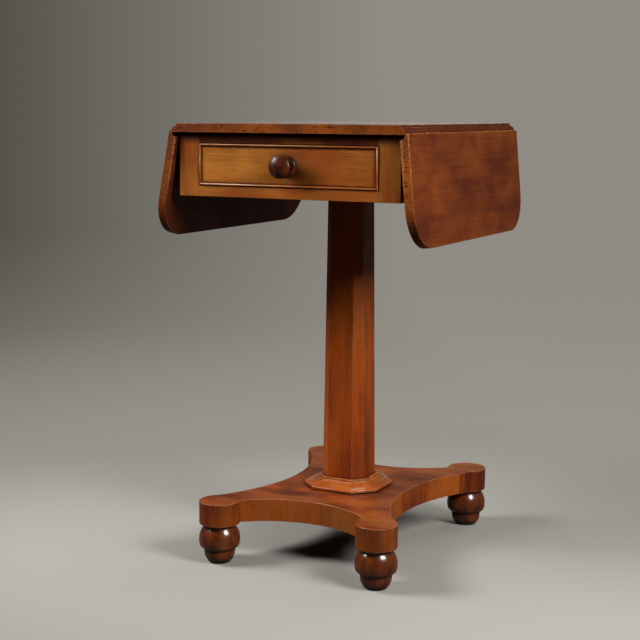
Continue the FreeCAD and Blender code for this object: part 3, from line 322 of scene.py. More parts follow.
HANDLED_SHADE_FADE = (0.1, 1.3)  # part of that reach over which it fades
HANDLED_SHADE_CLEAN = 0.15  # share of clean, unshaded wood in its middle
WAX_SHADE_REACH = 5.0  # how far dark wax and painted corner shade reach from the beads, millimetres
WAX_SHADE_FADE = (0.5, 1.4)
WAX_SHADE_CLEAN = 0.2
OVERHANG_SHADE_DEPTHS = (27.0, 9.0)  # depths below the top between which the top's shadow is painted under its edge, millimetres
OVERHANG_SHADE_SWING = 8.0  # how far clouds move that painted shadow up and down, millimetres
OVERHANG_SHADE_CLEAN = 0.1


def blank_material(name):
    """A new material and its empty node tree."""
    material = bpy.data.materials.new(name)
    material.use_nodes = True
    material.node_tree.nodes.clear()
    return material, material.node_tree


def overhang_shade(tree, cloud):
    """Painted shadow of the top: the frame darkens close under the top's edge, where the top's shadow falls.
    """
    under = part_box("top_board")[0].z
    place = add(tree, "ShaderNodeTexCoord").outputs["Object"]
    height = add(tree, "ShaderNodeSeparateXYZ", {0: place}).outputs["Z"]
    height = add(
        tree, "ShaderNodeMath", {0: cloud, 1: -OVERHANG_SHADE_SWING * MM, 2: height}, operation="MULTIPLY_ADD"
    ).outputs[0]
    low, high = (under - depth * MM for depth in OVERHANG_SHADE_DEPTHS)
    return add(
        tree, "ShaderNodeMapRange",
        {"Value": height, "From Min": low, "From Max": high, "To Min": 1.0, "To Max": OVERHANG_SHADE_CLEAN},
        interpolation_type="SMOOTHSTEP",
    ).outputs["Result"]


def hand_dirt_and_shade(tree, patchy):
    """How clean and lit the drawer front is: a patch below the knob, partly hand dirt and partly the knob's
    painted shadow, and a dark line inside the beads, partly wax and partly painted corner shade."""
    left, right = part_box("cock_bead_left")[1].x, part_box("cock_bead_right")[0].x
    bottom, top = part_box("cock_bead_bottom")[1].z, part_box("cock_bead_top")[0].z
    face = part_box("drawer_front")[0].y
    middle = Vector((left + right, 2 * face, bottom + top)) / 2
    half = Vector((right - left, 0, top - bottom)) / 2
    place = add(tree, "ShaderNodeTexCoord").outputs["Object"]
    place = add(tree, "ShaderNodeVectorMath", {0: place, 1: middle}, operation="SUBTRACT").outputs[0]
    scale = [1 / (reach * MM) for reach in HANDLED_SHADE_REACH]
    shift = [-step / reach for step, reach in zip(HANDLED_SHADE_PLACE, HANDLED_SHADE_REACH)]
    hand_and_shadow = add(tree, "ShaderNodeMapping", {"Vector": place, "Scale": scale, "Location": shift}).outputs[0]
    hand_and_shadow = add(tree, "ShaderNodeVectorMath", {0: hand_and_shadow}, operation="LENGTH").outputs["Value"]
    near, far = HANDLED_SHADE_FADE
    hand_and_shadow = add(
        tree, "ShaderNodeMapRange",
        {"Value": hand_and_shadow, "From Min": near, "From Max": far, "To Min": HANDLED_SHADE_CLEAN},
    ).outputs["Result"]
    inwards = add(tree, "ShaderNodeVectorMath", {0: place}, operation="ABSOLUTE").outputs[0]
    inwards = add(tree, "ShaderNodeVectorMath", {0: half, 1: inwards}, operation="SUBTRACT").outputs[0]
    inwards = add(tree, "ShaderNodeSeparateXYZ", {0: inwards}).outputs
    inwards = add(tree, "ShaderNodeMath", {0: inwards["X"], 1: inwards["Z"]}, operation="MINIMUM").outputs[0]
    inwards = add(
        tree, "ShaderNodeMath", {0: patchy, 1: WAX_SHADE_REACH * MM, 2: inwards}, operation="MULTIPLY_ADD"
    ).outputs[0]
    near, far = (WAX_SHADE_REACH * part * MM for part in WAX_SHADE_FADE)
    wax_and_shade = add(
        tree, "ShaderNodeMapRange",
        {"Value": inwards, "From Min": near, "From Max": far, "To Min": WAX_SHADE_CLEAN},
        interpolation_type="SMOOTHSTEP",
    ).outputs["Result"]
    return add(tree, "ShaderNodeMath", {0: hand_and_shadow, 1: wax_and_shade}, operation="MULTIPLY").outputs[0]


DIRT_AND_SHADE = {"overhang_shade": (overhang_shade, "cloud"), "handled": (hand_dirt_and_shade, "fleck")}  # painted shade and dirt, each with the mark that breaks its edge


def wood(kind):
    """Planed and polished wood: ribbons and streaks along the grain, short dark pores, cloudy fading,
    flecked golden ends, dirt and painted shade in the corners, rubbed arrises, and on some finishes painted
    shade under the top and by the knob."""
    finish = FINISHES[kind]
    known = bpy.data.materials.get(finish["name"])
    if known:
        return known
    colours = bpy.context.scene.table_colours
    light, dark, blush, worn = (
        getattr(colours, finish["tones"] + end) for end in ("_light", "_dark", "_blush", "_worn")
    )
    material, tree = blank_material(finish["name"])
    marks = {
        name: add(tree, "ShaderNodeAttribute", attribute_name=name).outputs["Fac"]
        for name in ("end_grain", "tone")
    }
    place = add(tree, "ShaderNodeAttribute", attribute_name="grain").outputs["Vector"]
    for name, detail in MARK_DETAIL.items():
        size = MARK_SIZE[name] if name in MARK_SIZE else finish[name]
        scale = [1 / (side * MM) for side in (size[0], size[1], size[-1])]
        spot = add(tree, "ShaderNodeMapping", {"Vector": place, "Scale": scale}).outputs["Vector"]
        marks[name] = add(
            tree, "ShaderNodeTexNoise",
            {"Vector": spot, "Scale": 1.0, "Detail": detail, "Distortion": MARK_BEND},
        ).outputs[0]
    round_edge = add(tree, "ShaderNodeBevel", {"Radius": ARRIS_WEAR * MM}, samples=5).outputs["Normal"]
    flat = add(tree, "ShaderNodeNewGeometry").outputs["Normal"]
    marks["bend"] = add(
        tree, "ShaderNodeVectorMath", {0: round_edge, 1: flat}, operation="DOT_PRODUCT"
    ).outputs["Value"]
    marks["open_air"] = add(
        tree, "ShaderNodeAmbientOcclusion", {"Distance": GRIME_AND_SHADE_REACH * MM}, samples=6
    ).outputs["AO"]
    for name, (measure, begin, end, least, most) in SHARES.items():
        marks[name] = add(
            tree, "ShaderNodeMapRange",
            {"Value": marks[measure], "From Min": begin, "From Max": end, "To Min": least,
             "To Max": finish.get(most, most)},
        ).outputs["Result"]
    for name, limit in LIMITED:
        marks[name] = add(
            tree, "ShaderNodeMath", {0: marks[name], 1: marks[limit]}, operation="MULTIPLY"
        ).outputs[0]
    middle = sum(finish["swing"].values()) / 2
    depth = add(tree, "ShaderNodeMath", {0: marks["tone"], 1: middle}, operation="SUBTRACT").outputs[0]
    for name, swing in finish["swing"].items():
        depth = add(
            tree, "ShaderNodeMath", {0: marks[name], 1: swing, 2: depth}, operation="MULTIPLY_ADD"
        ).outputs[0]
    base = dark
    for share, paint in ((depth, light), (marks["patch"], blush), (marks["pits"], dark)):
        base = add(tree, "ShaderNodeMix", {0: share, 6: base, 7: paint}, data_type="RGBA").outputs[2]
    ends = base
    for share, paint in ((marks["golden"], light), (marks["flecked"], dark)):
        ends = add(tree, "ShaderNodeMix", {0: share, 6: ends, 7: paint}, data_type="RGBA").outputs[2]
    for share, paint in ((marks["cut"], ends), (marks["rubbed"], worn)):
        base = add(tree, "ShaderNodeMix", {0: share, 6: base, 7: paint}, data_type="RGBA").outputs[2]
    # Painted shade and dirt in the corners, from ambient occlusion.
    base = add(
        tree, "ShaderNodeMix", {0: 1.0, 6: base, 7: marks["clean_and_unshaded"]}, data_type="RGBA", blend_type="MULTIPLY"
    ).outputs[2]
    # Painted shade: darkens towards the soil colour under the top's edge, by the knob and inside the beads.
    for name, (darkening, mark) in DIRT_AND_SHADE.items():
        if name in finish:
            wiped_and_lit = darkening(tree, marks[mark])
            base = add(
                tree, "ShaderNodeMix", {0: wiped_and_lit, 6: colours.soil_and_shade, 7: base}, data_type="RGBA"
            ).outputs[2]
    dull, bright = (finish["roughness"] + swing for swing in MATTE_SWING)
    begin, end = MATTE_CLOUD
    matte = add(
        tree, "ShaderNodeMapRange",
        {"Value": marks["cloud"], "From Min": begin, "From Max": end, "To Min": dull, "To Max": bright},
    ).outputs["Result"]
    relief = add(
        tree, "ShaderNodeMath", {0: marks["streak"], 1: marks["pits"]}, operation="SUBTRACT"
    ).outputs[0]
    normal = add(
        tree, "ShaderNodeBump", {"Height": relief, "Strength": RELIEF, "Distance": RELIEF * MM}
    ).outputs["Normal"]
    shader = add(
        tree, "ShaderNodeBsdfPrincipled",
        {"Base Color": base, "Roughness": matte, "Normal": normal, "Specular IOR Level": finish["gloss"],
         "Coat Weight": finish["coat"], "Coat Roughness": COAT_ROUGHNESS},
    )
    add(tree, "ShaderNodeOutputMaterial", {"Surface": shader.outputs["BSDF"]})
    return material


OXIDE_SIZE = 6.0  # patches of oxide on forged iron, millimetres
OXIDE_EDGE = (0.38, 0.62)  # where the rubbed iron begins and ends, and its roughness from dull to rubbed
IRON_METAL = 0.85  # the oxide skin is only partly metal
IRON_RELIEF = 0.25
IRON_DEPTH = 0.1  # millimetres


def wrought_iron():
    """Hand-forged iron: a dull brown oxide skin, rubbed grey on the high spots."""
    known = bpy.data.materials.get("wrought_iron")
    if known:
        return known
    colours = bpy.context.scene.table_colours
    material, tree = blank_material("wrought_iron")
    low, high = OXIDE_EDGE
    place = add(tree, "ShaderNodeTexCoord").outputs["Object"]
    scale = add(
        tree, "ShaderNodeTexNoise", {"Vector": place, "Scale": 1 / (OXIDE_SIZE * MM), "Detail": 5.0}
    ).outputs[0]
    skin = add(
        tree, "ShaderNodeMapRange", {"Value": scale, "From Min": low, "From Max": high}
    ).outputs["Result"]
    base = add(
        tree, "ShaderNodeMix", {0: skin, 6: colours.iron_dull, 7: colours.iron_bright}, data_type="RGBA"
    ).outputs[2]
    matte = add(
        tree, "ShaderNodeMapRange", {"Value": scale, "To Min": high, "To Max": low}
    ).outputs["Result"]
    normal = add(
        tree, "ShaderNodeBump", {"Height": scale, "Strength": IRON_RELIEF, "Distance": IRON_DEPTH * MM}
    ).outputs["Normal"]
    shader = add(
        tree, "ShaderNodeBsdfPrincipled",
        {"Base Color": base, "Roughness": matte, "Normal": normal, "Metallic": IRON_METAL},
    )
    add(tree, "ShaderNodeOutputMaterial", {"Surface": shader.outputs["BSDF"]})
    return material


def eased_copy(node, radius):
    """The node's mesh, merged, with its long sharp edges rounded."""
    form = bmesh.new()
    form.from_mesh(frame["nodes"][node].data)
    bmesh.ops.remove_doubles(form, verts=form.verts, dist=MERGE)
    bmesh.ops.dissolve_limit(form, angle_limit=FLAT, verts=form.verts, edges=form.edges)
    return rounded(form, node, radius)


def rounded(form, name, radius):
    """A mesh from the form, its long sharp edges rounded and its large faces shaded flat."""
    arrises = [
        edge for edge in form.edges
        if edge.is_manifold and edge.calc_face_angle() > ARRIS_ANGLE and edge.calc_length() > 2 * radius
    ]
    bmesh.ops.bevel(
        form, geom=arrises, offset=radius, offset_type="OFFSET", segments=BEVEL_STEPS, profile=0.5,
        affect="EDGES", clamp_overlap=True,
    )
    draft = bpy.data.meshes.new("draft")
    form.to_mesh(draft)
    form.free()
    draft.shade_smooth()
    draft.set_sharp_from_angle(angle=SMOOTH_ANGLE)
    holder = bpy.data.objects.new("draft", draft)
    bpy.context.scene.collection.objects.link(holder)
    holder.modifiers.new("normals", "WEIGHTED_NORMAL").keep_sharp = True
    mesh = bpy.data.meshes.new_from_object(holder.evaluated_get(bpy.context.evaluated_depsgraph_get()))
    mesh.name = name + "_wood"
    bpy.data.objects.remove(holder)
    bpy.data.meshes.remove(draft)
    return mesh


# How light a piece's wood is, between its finish's dark and light colour. Past 0 and 1 its marks are
# drowned. Pieces that are not named here have the plain tone.
PLAIN_TONE = 0.50
TONES = {
    "left_leaf": 0.02, "right_leaf": 0.14,
    "post_front_left": 0.80, "post_front_right": 0.66, "post_back_left": 0.66, "post_back_right": 0.60,
    # The front top rail's tone below its finish's dark colour is painted shade, standing for the top's shadow
    # on it.
    "front_top_rail": -0.10, "front_bottom_rail": 0.92, "back_rail": 0.92, "drawer_stops": 0.92,
    "drawer_front": 0.84, "drawer_knob": 0.16, "column_collar": 0.68,
    "cock_bead_top": 0.58, "cock_bead_bottom": 0.58, "cock_bead_left": 0.58, "cock_bead_right": 0.58,
    "foot_front_left": 0.49, "foot_front_right": 0.49, "foot_back_left": 0.49, "foot_back_right": 0.49,
}
CHOSEN_CUTS = {"right_leaf": 63, "column_collar": 3, "base_plinth": 5}  # the other boards follow their order
SIDES = ("left_", "right_")


def lay_grain(mesh, node, along, tone):
    """Store each corner's place in its board, grain first, how squarely its face cuts the grain,
    and its tone."""
    order = CHOSEN_CUTS.get(node, sorted(body_of).index(node))
    count = len(mesh.polygons)
    axes = np.array(along, float).reshape(-1, 3) * np.ones((count, 1))
    upright = np.abs(axes[:, 2:3]) > 0.5
    across = np.cross(np.where(upright, ALONG_X, ALONG_Z), axes)
    through = np.cross(axes, across)
    normals = np.array([face.normal for face in mesh.polygons])
    owner = np.repeat(np.arange(count), [face.loop_total for face in mesh.polygons])
    points = np.array([mesh.vertices[loop.vertex_index].co for loop in mesh.loops])
    basis = np.stack((axes, across, through), axis=1)[owner]
    places = np.einsum("nij,nj->ni", basis, points) + order * BOARD_SHIFT
    ends = np.abs(np.einsum("ni,ni->n", axes, normals))[owner]
    tones = (np.zeros(count) + tone)[owner]
    mesh.attributes.new("grain", "FLOAT_VECTOR", "CORNER").data.foreach_set("vector", places.ravel())
    mesh.attributes.new("end_grain", "FLOAT", "CORNER").data.foreach_set("value", ends)
    mesh.attributes.new("tone", "FLOAT", "CORNER").data.foreach_set("value", tones)


def settle(mesh, node):
    """Put a finished mesh on its body in its node's stead."""
    piece = bpy.data.objects.new(mesh.name, mesh)
    bpy.context.scene.collection.objects.link(piece)
    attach(piece, body_of[node])
    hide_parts(node)


def place_piece(mesh, node, *kinds):
    """Settle a mesh in its node's wood or other finishes of it."""
    mesh.materials.clear()
    for kind in kinds or (slot_of[node],):
        mesh.materials.append(wood(kind))
    settle(mesh, node)


def board(node, along, radius, *kinds):
    """A board with eased arrises and grain along the given axis."""
    mesh = eased_copy(node, radius)
    lay_grain(mesh, node, along, TONES.get(node, PLAIN_TONE))
    place_piece(mesh, node, *kinds)


RULE_TILT = 0.25  # sideways lean of a face's normal from which it belongs to the rule joint
TOP_TONES = (0.16, -0.10)  # upper face and ends, and rule joints


def fixed_top(arris):
    """Top board, faded on its upper face and red-brown where the leaves shade the rule joints."""
    mesh = eased_copy("top_board", arris)
    joint = [int(abs(face.normal.x) > RULE_TILT) for face in mesh.polygons]
    lay_grain(mesh, "top_board", ALONG_Y, [TOP_TONES[turned] for turned in joint])
    place_piece(mesh, "top_board", "top_mahogany", "leaf_mahogany")
    mesh.polygons.foreach_set("material_index", joint)


class TABLE_OT_top_and_leaves(bpy.types.Operator):
    """Fixed top and both hanging leaves, with the grain along the rule joints"""

    bl_idname = "table.top_and_leaves"
    bl_label = "Top and Leaves"

    def execute(self, context):
        arris = context.scene.table_sizes.board_arris
        fixed_top(arris)
        for side in SIDES:
            board(side + "leaf", ALONG_Y, arris, "leaf_mahogany")
        return {"FINISHED"}


class TABLE_OT_carcass(bpy.types.Operator):
    """Posts, rails, inner sides, runners, kickers and drawer stops"""

    bl_idname = "table.carcass"
    bl_label = "Carcass"

    def execute(self, context):
        arris = context.scene.table_sizes.board_arris
        for node in ("post_front_left", "post_front_right", "post_back_left", "post_back_right"):
            board(node, ALONG_Z, arris)
        for node in ("front_top_rail", "front_bottom_rail", "back_rail", "drawer_stops"):
            board(node, ALONG_X, arris)
        for name in ("inner_side", "drawer_runner", "kicker"):
            for side in SIDES:
                board(side + name, ALONG_Y, arris)
        return {"FINISHED"}


class TABLE_OT_fly_brackets(bpy.types.Operator):
    """Fly rails and the brackets that swing out to hold the leaves up"""

    bl_idname = "table.fly_brackets"
    bl_label = "Fly Brackets"

    def execute(self, context):
        arris = context.scene.table_sizes.board_arris
        for name in ("fly_rail_front", "fly_rail_back", "fly_bracket"):
            for side in SIDES:
                board(side + name, ALONG_Y, arris)
        return {"FINISHED"}


class TABLE_OT_drawer(bpy.types.Operator):
    """Drawer front with its cock beads and knob, and the dovetailed box behind it"""

    bl_idname = "table.drawer"
    bl_label = "Drawer"

    def execute(self, context):
        sizes = context.scene.table_sizes
        board("drawer_front", ALONG_X, sizes.board_arris, "drawer_mahogany")
        for node in ("cock_bead_top", "cock_bead_bottom"):
            board(node, ALONG_X, sizes.board_arris, "bead_mahogany")
        for node in ("cock_bead_left", "cock_bead_right"):
            board(node, ALONG_Z, sizes.board_arris, "bead_mahogany")
        for node in ("drawer_back", "drawer_bottom"):
            board(node, ALONG_X, sizes.board_arris)
        for node in ("drawer_left_side", "drawer_right_side"):
            board(node, ALONG_Y, sizes.board_arris)
        board("drawer_knob", ALONG_Y, sizes.turned_arris, "knob_mahogany")
        return {"FINISHED"}


EIGHTH = math.pi / 4  # turn from one side of an octagon to the next
FACET_TONES_AND_LIGHT = (0.45, 0.52, 0.60, 0.50, 0.62, 1.00, 0.58, 0.62)  # from the right side round the back; beside veneer, the front-left facet's full tone is a painted reflection and the right facet's low tone painted shade


def veneered_column(arris):
    """Column with its own tone on each facet: partly veneer, partly the painted light and shade of each
    facet.
    """
    mesh = eased_copy("column", arris)
    facets = [round(math.atan2(face.normal.y, face.normal.x) / EIGHTH) % 8 for face in mesh.polygons]
    lay_grain(mesh, "column", ALONG_Z, [FACET_TONES_AND_LIGHT[facet] for facet in facets])
    place_piece(mesh, "column")


NOSE_STEPS = 3
COLLAR_STEPS = 8
LEVEL_FACE = 0.95  # upright share of a normal from which a face of the collar is level


def octagon_ring(form, half, chamfer, height):
    """Eight vertices of an octagon with the given half width and cut corners."""
    flat = half - chamfer
    corner = [(half, -flat), (half, flat), (flat, half), (-flat, half)]
    corner += [(-x, -y) for x, y in corner]
    return [form.verts.new((x, y, height)) for x, y in corner]


def collar_profile(sizes, half, low, high):
    """Half width and height of each row of the collar, from its foot outwards and up to its inner top."""
    outer = half + sizes.collar_spread
    nose = sizes.collar_nose
    joint = low + sizes.collar_gap
    edge = joint + sizes.collar_edge
    inner = outer - sizes.collar_undercut
    rows = [(half, low), (inner, low), (inner, joint), (outer, joint), (outer, edge)]
    for step in range(1, NOSE_STEPS + 1):
        turn = EIGHTH * step / NOSE_STEPS
        rows.append((outer - nose * (1 - math.cos(turn)), edge + nose * math.sin(turn)))
    ledge = half + sizes.collar_ledge
    start = Vector((outer - nose, edge + nose))
    end = Vector((ledge + sizes.collar_step, high - sizes.collar_fillet))
    inward = (end - start).orthogonal().normalized() * sizes.collar_hollow
    if inward.y > 0:
        inward = -inward
    for step in range(COLLAR_STEPS + 1):
        share = step / COLLAR_STEPS
        rows.append(tuple(start.lerp(end, share) + inward * 4 * share * (1 - share)))
    rows += [(ledge, end.y), (ledge, high), (half, high)]
    return rows


def mitred_collar(sizes):
    """Moulding mitred round the column, its grain following each side."""
    low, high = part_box("column_collar")
    half = high.x - sizes.collar_spread
    reach = math.sqrt(2) * half - sizes.collar_chamfer / math.sqrt(2)
    form = bmesh.new()
    rings = []
    for width, height in collar_profile(sizes, half, low.z, high.z):
        chamfer = 2 * width - math.sqrt(2) * (reach + width - half)
        rings.append(octagon_ring(form, width, chamfer, height))
    for near, far in zip(rings, rings[1:] + rings[:1]):
        for side in range(8):
            after = (side + 1) % 8
            form.faces.new((near[side], near[after], far[after], far[side]))
    bmesh.ops.recalc_face_normals(form, faces=form.faces)
    mesh = rounded(form, "column_collar", sizes.collar_arris)
    axes = []
    for face in mesh.polygons:
        out = face.center if abs(face.normal.z) > LEVEL_FACE else face.normal
        turn = round(math.atan2(out.y, out.x) / EIGHTH) * EIGHTH
        axes.append((-math.sin(turn), math.cos(turn), 0.0))
    lay_grain(mesh, "column_collar", axes, TONES["column_collar"])
    place_piece(mesh, "column_collar", "collar_mahogany")


VENEER_SEED = 4
VENEER_STRIPS = 56
VENEER_SWING = 0.3  # how far a strip's tone is from the side's
PLINTH_TONES = {"top": 0.32, "side": 0.74}
LOBE_TONES_AND_SHADE = ((0.20, 0.10), (0.25, 0.27))  # back and front lobes, each left and right; the back-right lobe's low tone is painted shade
LOBE_START = 0.215  # distance from the column to where a lobe begins, metres
TOP_FACE = 0.7  # upright share of a normal from which a face of the plinth is its top or underside


def veneered_plinth(arris):
    """Plinth with strips of upright veneer round its sides, darker on the lobes, and a top veneer
    along its front."""
    mesh = eased_copy("base_plinth", arris)
    dice = random.Random(VENEER_SEED)
    strips = [dice.uniform(-VENEER_SWING, VENEER_SWING) for strip in range(VENEER_STRIPS)]
    axes = []
    tones = []
    for face in mesh.polygons:
        if abs(face.normal.z) > TOP_FACE:
            axes.append(ALONG_X)
            tones.append(PLINTH_TONES["top"])
            continue
        axes.append(ALONG_Z)
        if math.hypot(face.center.x, face.center.y) > LOBE_START:
            tones.append(LOBE_TONES_AND_SHADE[face.center.y < 0][face.center.x > 0])
            continue
        turn = math.atan2(face.center.y, face.center.x) / (2 * math.pi) % 1
        tones.append(PLINTH_TONES["side"] + strips[int(turn * VENEER_STRIPS)])
    lay_grain(mesh, "base_plinth", axes, tones)
    place_piece(mesh, "base_plinth", "plinth_mahogany")


class TABLE_OT_pedestal(bpy.types.Operator):
    """Bearer, column, wedges, collar and plinth"""

    bl_idname = "table.pedestal"
    bl_label = "Pedestal"

    def execute(self, context):
        sizes = context.scene.table_sizes
        board("pedestal_bearer", ALONG_X, sizes.board_arris)
        veneered_column(sizes.column_arris)
        board("column_wedges", ALONG_Z, sizes.board_arris)
        mitred_collar(sizes)
        veneered_plinth(sizes.plinth_arris)
        return {"FINISHED"}


class TABLE_OT_feet(bpy.types.Operator):
    """Four turned bun feet"""

    bl_idname = "table.feet"
    bl_label = "Feet"

    def execute(self, context):
        for node in ("foot_front_left", "foot_front_right", "foot_back_left", "foot_back_right"):
            board(node, ALONG_Z, context.scene.table_sizes.turned_arris)
        return {"FINISHED"}


SCREW_SIDES = 24
SCREW_SEED = 7
SCREW_SIZES = ("Head Radius", "Shank Radius", "Length", "Point Length", "Slot Width", "Slot Depth")
CUTTER_LENGTH = 3.0  # bar that cuts the slot, in head radii; it is centred on the head's face
POINT_SHARE = 0.1  # part of the head's radius below which a corner belongs to the point


def screw_tree():
    """Slotted countersunk screws, one on each point, driven in along its axis and left at a random turn."""
    tree = bpy.data.node_groups.new("slotted_screws", "GeometryNodeTree")
    tree.interface.new_socket("Places", in_out="INPUT", socket_type="NodeSocketGeometry")
    for name in SCREW_SIZES:
        tree.interface.new_socket(name, in_out="INPUT", socket_type="NodeSocketFloat")
    tree.interface.new_socket("Seed", in_out="INPUT", socket_type="NodeSocketInt")
    tree.interface.new_socket("Material", in_out="INPUT", socket_type="NodeSocketMaterial")
    tree.interface.new_socket("Screws", in_out="OUTPUT", socket_type="NodeSocketGeometry")
    given = add(tree, "NodeGroupInput").outputs
    head, shank, point = given["Head Radius"], given["Shank Radius"], given["Point Length"]
    sink = add(tree, "ShaderNodeMath", {0: head, 1: shank}, operation="SUBTRACT").outputs[0]
    start = add(tree, "ShaderNodeMath", {0: given["Length"], 1: point}, operation="SUBTRACT").outputs[0]
    stem = add(tree, "ShaderNodeMath", {0: start, 1: sink}, operation="SUBTRACT").outputs[0]
    face = add(tree, "GeometryNodeMeshCircle", {"Vertices": SCREW_SIDES, "Radius": head}, fill_type="NGON")
    face = add(tree, "GeometryNodeFlipFaces", {"Mesh": face.outputs["Mesh"]}).outputs["Mesh"]
    skin = add(tree, "GeometryNodeJoinGeometry")
    tree.links.new(face, skin.inputs[0])
    cones = ((0.0, head, shank, sink), (sink, shank, shank, stem), (start, shank, 0.0, point))
    for low, foot, crown, height in cones:
        cone = add(
            tree, "GeometryNodeMeshCone",
            {"Vertices": SCREW_SIDES, "Radius Bottom": foot, "Radius Top": crown, "Depth": height},
            fill_type="NONE",
        ).outputs["Mesh"]
        lift = add(tree, "ShaderNodeCombineXYZ", {"Z": low}).outputs[0]
        cone = add(tree, "GeometryNodeTransform", {"Geometry": cone, "Translation": lift}).outputs[0]
        tree.links.new(cone, skin.inputs[0])
    whole = add(
        tree, "GeometryNodeMergeByDistance", {"Geometry": skin.outputs[0], "Distance": MERGE}
    ).outputs[0]
    reach = add(tree, "ShaderNodeMath", {0: head, 1: CUTTER_LENGTH}, operation="MULTIPLY").outputs[0]
    depth = add(tree, "ShaderNodeMath", {0: given["Slot Depth"], 1: 2.0}, operation="MULTIPLY").outputs[0]
    bar = add(tree, "ShaderNodeCombineXYZ", {"X": reach, "Y": given["Slot Width"], "Z": depth}).outputs[0]
    bar = add(tree, "GeometryNodeMeshCube", {"Size": bar}).outputs["Mesh"]
    slotted = add(
        tree, "GeometryNodeMeshBoolean", {"Mesh 1": whole, "Mesh 2": bar}, operation="DIFFERENCE"
    ).outputs["Mesh"]
    into = add(tree, "GeometryNodeInputNamedAttribute", {"Name": "into"}, data_type="FLOAT_VECTOR")
    aimed = add(tree, "FunctionNodeAlignRotationToVector", {"Vector": into.outputs["Attribute"]}, axis="Z")
    chance = add(tree, "FunctionNodeRandomValue", {3: math.pi, "Seed": given["Seed"]}, data_type="FLOAT")
    twist = add(tree, "FunctionNodeAxisAngleToRotation", {"Axis": ALONG_Z, "Angle": chance.outputs[1]})
    turned = add(
        tree, "FunctionNodeRotateRotation", {"Rotation": aimed.outputs[0], "Rotate By": twist.outputs[0]},
        rotation_space="LOCAL",
    ).outputs[0]
    driven = add(
        tree, "GeometryNodeInstanceOnPoints",
        {"Points": given["Places"], "Instance": slotted, "Rotation": turned},
    ).outputs[0]
    real = add(tree, "GeometryNodeRealizeInstances", {"Geometry": driven}).outputs[0]
    iron = add(tree, "GeometryNodeSetMaterial", {"Geometry": real, "Material": given["Material"]}).outputs[0]
    add(tree, "NodeGroupOutput", {"Screws": iron})
    return tree


def screw_islands(node):
    """Corner points of each single screw in the node's mesh."""
    form = bmesh.new()
    form.from_mesh(frame["nodes"][node].data)
    bmesh.ops.remove_doubles(form, verts=form.verts, dist=MERGE)
    left = set(form.verts)
    islands = []
    while left:
        island = [left.pop()]
        for corner in island:
            for edge in corner.link_edges:
                other = edge.other_vert(corner)
                if other in left:
                    left.remove(other)
                    island.append(other)
        islands.append(np.array([corner.co for corner in island]))
    form.free()
    return islands


def measured_screw(points):
    """Middle of a screw's head, the way it goes into the wood, and its sizes."""
    middle = points.mean(axis=0)
    axis = np.linalg.svd(points - middle)[2][0]
    along = (points - middle) @ axis
    radius = np.linalg.norm(points - middle - np.outer(along, axis), axis=1)
    if along[radius.argmax()] > 0:
        axis, along = -axis, -along
    round_end = along[radius > radius.max() * POINT_SHARE].max()
    sizes = {
        "Head Radius": radius.max(),
        "Shank Radius": radius[along > round_end - MERGE].max(),
        "Length": np.ptp(along),
        "Point Length": along.max() - round_end,
    }
    return middle + axis * along.min(), axis, sizes


def slotted_screws(tree, node, sizes):
    """All screws of a node, with a slot across each head."""
    heads, axes, measures = zip(*[measured_screw(points) for points in screw_islands(node)])
    points = bpy.data.meshes.new("places")
    points.from_pydata([tuple(head) for head in heads], [], [])
    points.attributes.new("into", "FLOAT_VECTOR", "POINT").data.foreach_set("vector", np.ravel(axes))
    holder = bpy.data.objects.new("places", points)
    bpy.context.scene.collection.objects.link(holder)
    modifier = holder.modifiers.new("screws", "NODES")
    modifier.node_group = tree
    values = {name: float(size) for name, size in measures[0].items()}
    values["Slot Width"] = sizes.screw_slot_width
    values["Slot Depth"] = sizes.screw_slot_depth
    values["Seed"] = SCREW_SEED
    values["Material"] = wrought_iron()
    for socket in tree.interface.items_tree:
        if socket.name in values:
            modifier[socket.identifier] = values[socket.name]
    mesh = bpy.data.meshes.new_from_object(holder.evaluated_get(bpy.context.evaluated_depsgraph_get()))
    mesh.name = node + "_slotted"
    mesh.shade_smooth()
    mesh.set_sharp_from_angle(angle=SMOOTH_ANGLE)
    bpy.data.objects.remove(holder)
    bpy.data.meshes.remove(points)
    settle(mesh, node)


class TABLE_OT_ironwork(bpy.types.Operator):
    """Hinge flaps, hinge pins, fly pins and slotted screws"""

    bl_idname = "table.ironwork"
    bl_label = "Ironwork"

    def execute(self, context):
        tree = screw_tree()
        for node, slot in slot_of.items():
            if "screws" in node:
                slotted_screws(tree, node, context.scene.table_sizes)
            elif slot == "iron":
                mesh = frame["nodes"][node].data
                mesh.materials.clear()
                mesh.materials.append(wrought_iron())
        return {"FINISHED"}


# The studio: a round floor that a cove carries up into a wall. Lengths are in metres.
FLOOR_RADIUS = 2.4
COVE_RADIUS = 1.2
WALL_HEIGHT = 5.0
COVE_STEPS = 16
WALL_START = 0.5  # distance from the middle where the floor fades into its far tone, and where it has faded
WALL_FULL = 1.1
LIGHT_SIDE = (1.0, 0.7, 0.0)  # which way along the wall its light grows, and from where to where
LIGHT_SPAN = (-1.16, 0.88)
CLIMB_SPAN = (0.7, 3.2)  # distances between which the far floor's tone turns into the wall's
MIRROR_SPAN = (-0.6, 1.4)  # from the front to the back of the room, where the backdrop starts to be mirrored
BACKDROP_SHEEN = 0.2  # how much of the backdrop the polish mirrors; the room in front of the table is dark
TABLE_LEVEL = 0.77  # height on the wall that the table's top mirrors, and half the band it takes up, metres
LEVEL_BAND = 0.06
LEVEL_END = 0.3  # how far to the right that band goes
LEVEL_PAINTED_GLOW = 3.0  # how much brighter that band glows in reflections only, a painted sheen on the top's polish
STAGE_STEPS = 96


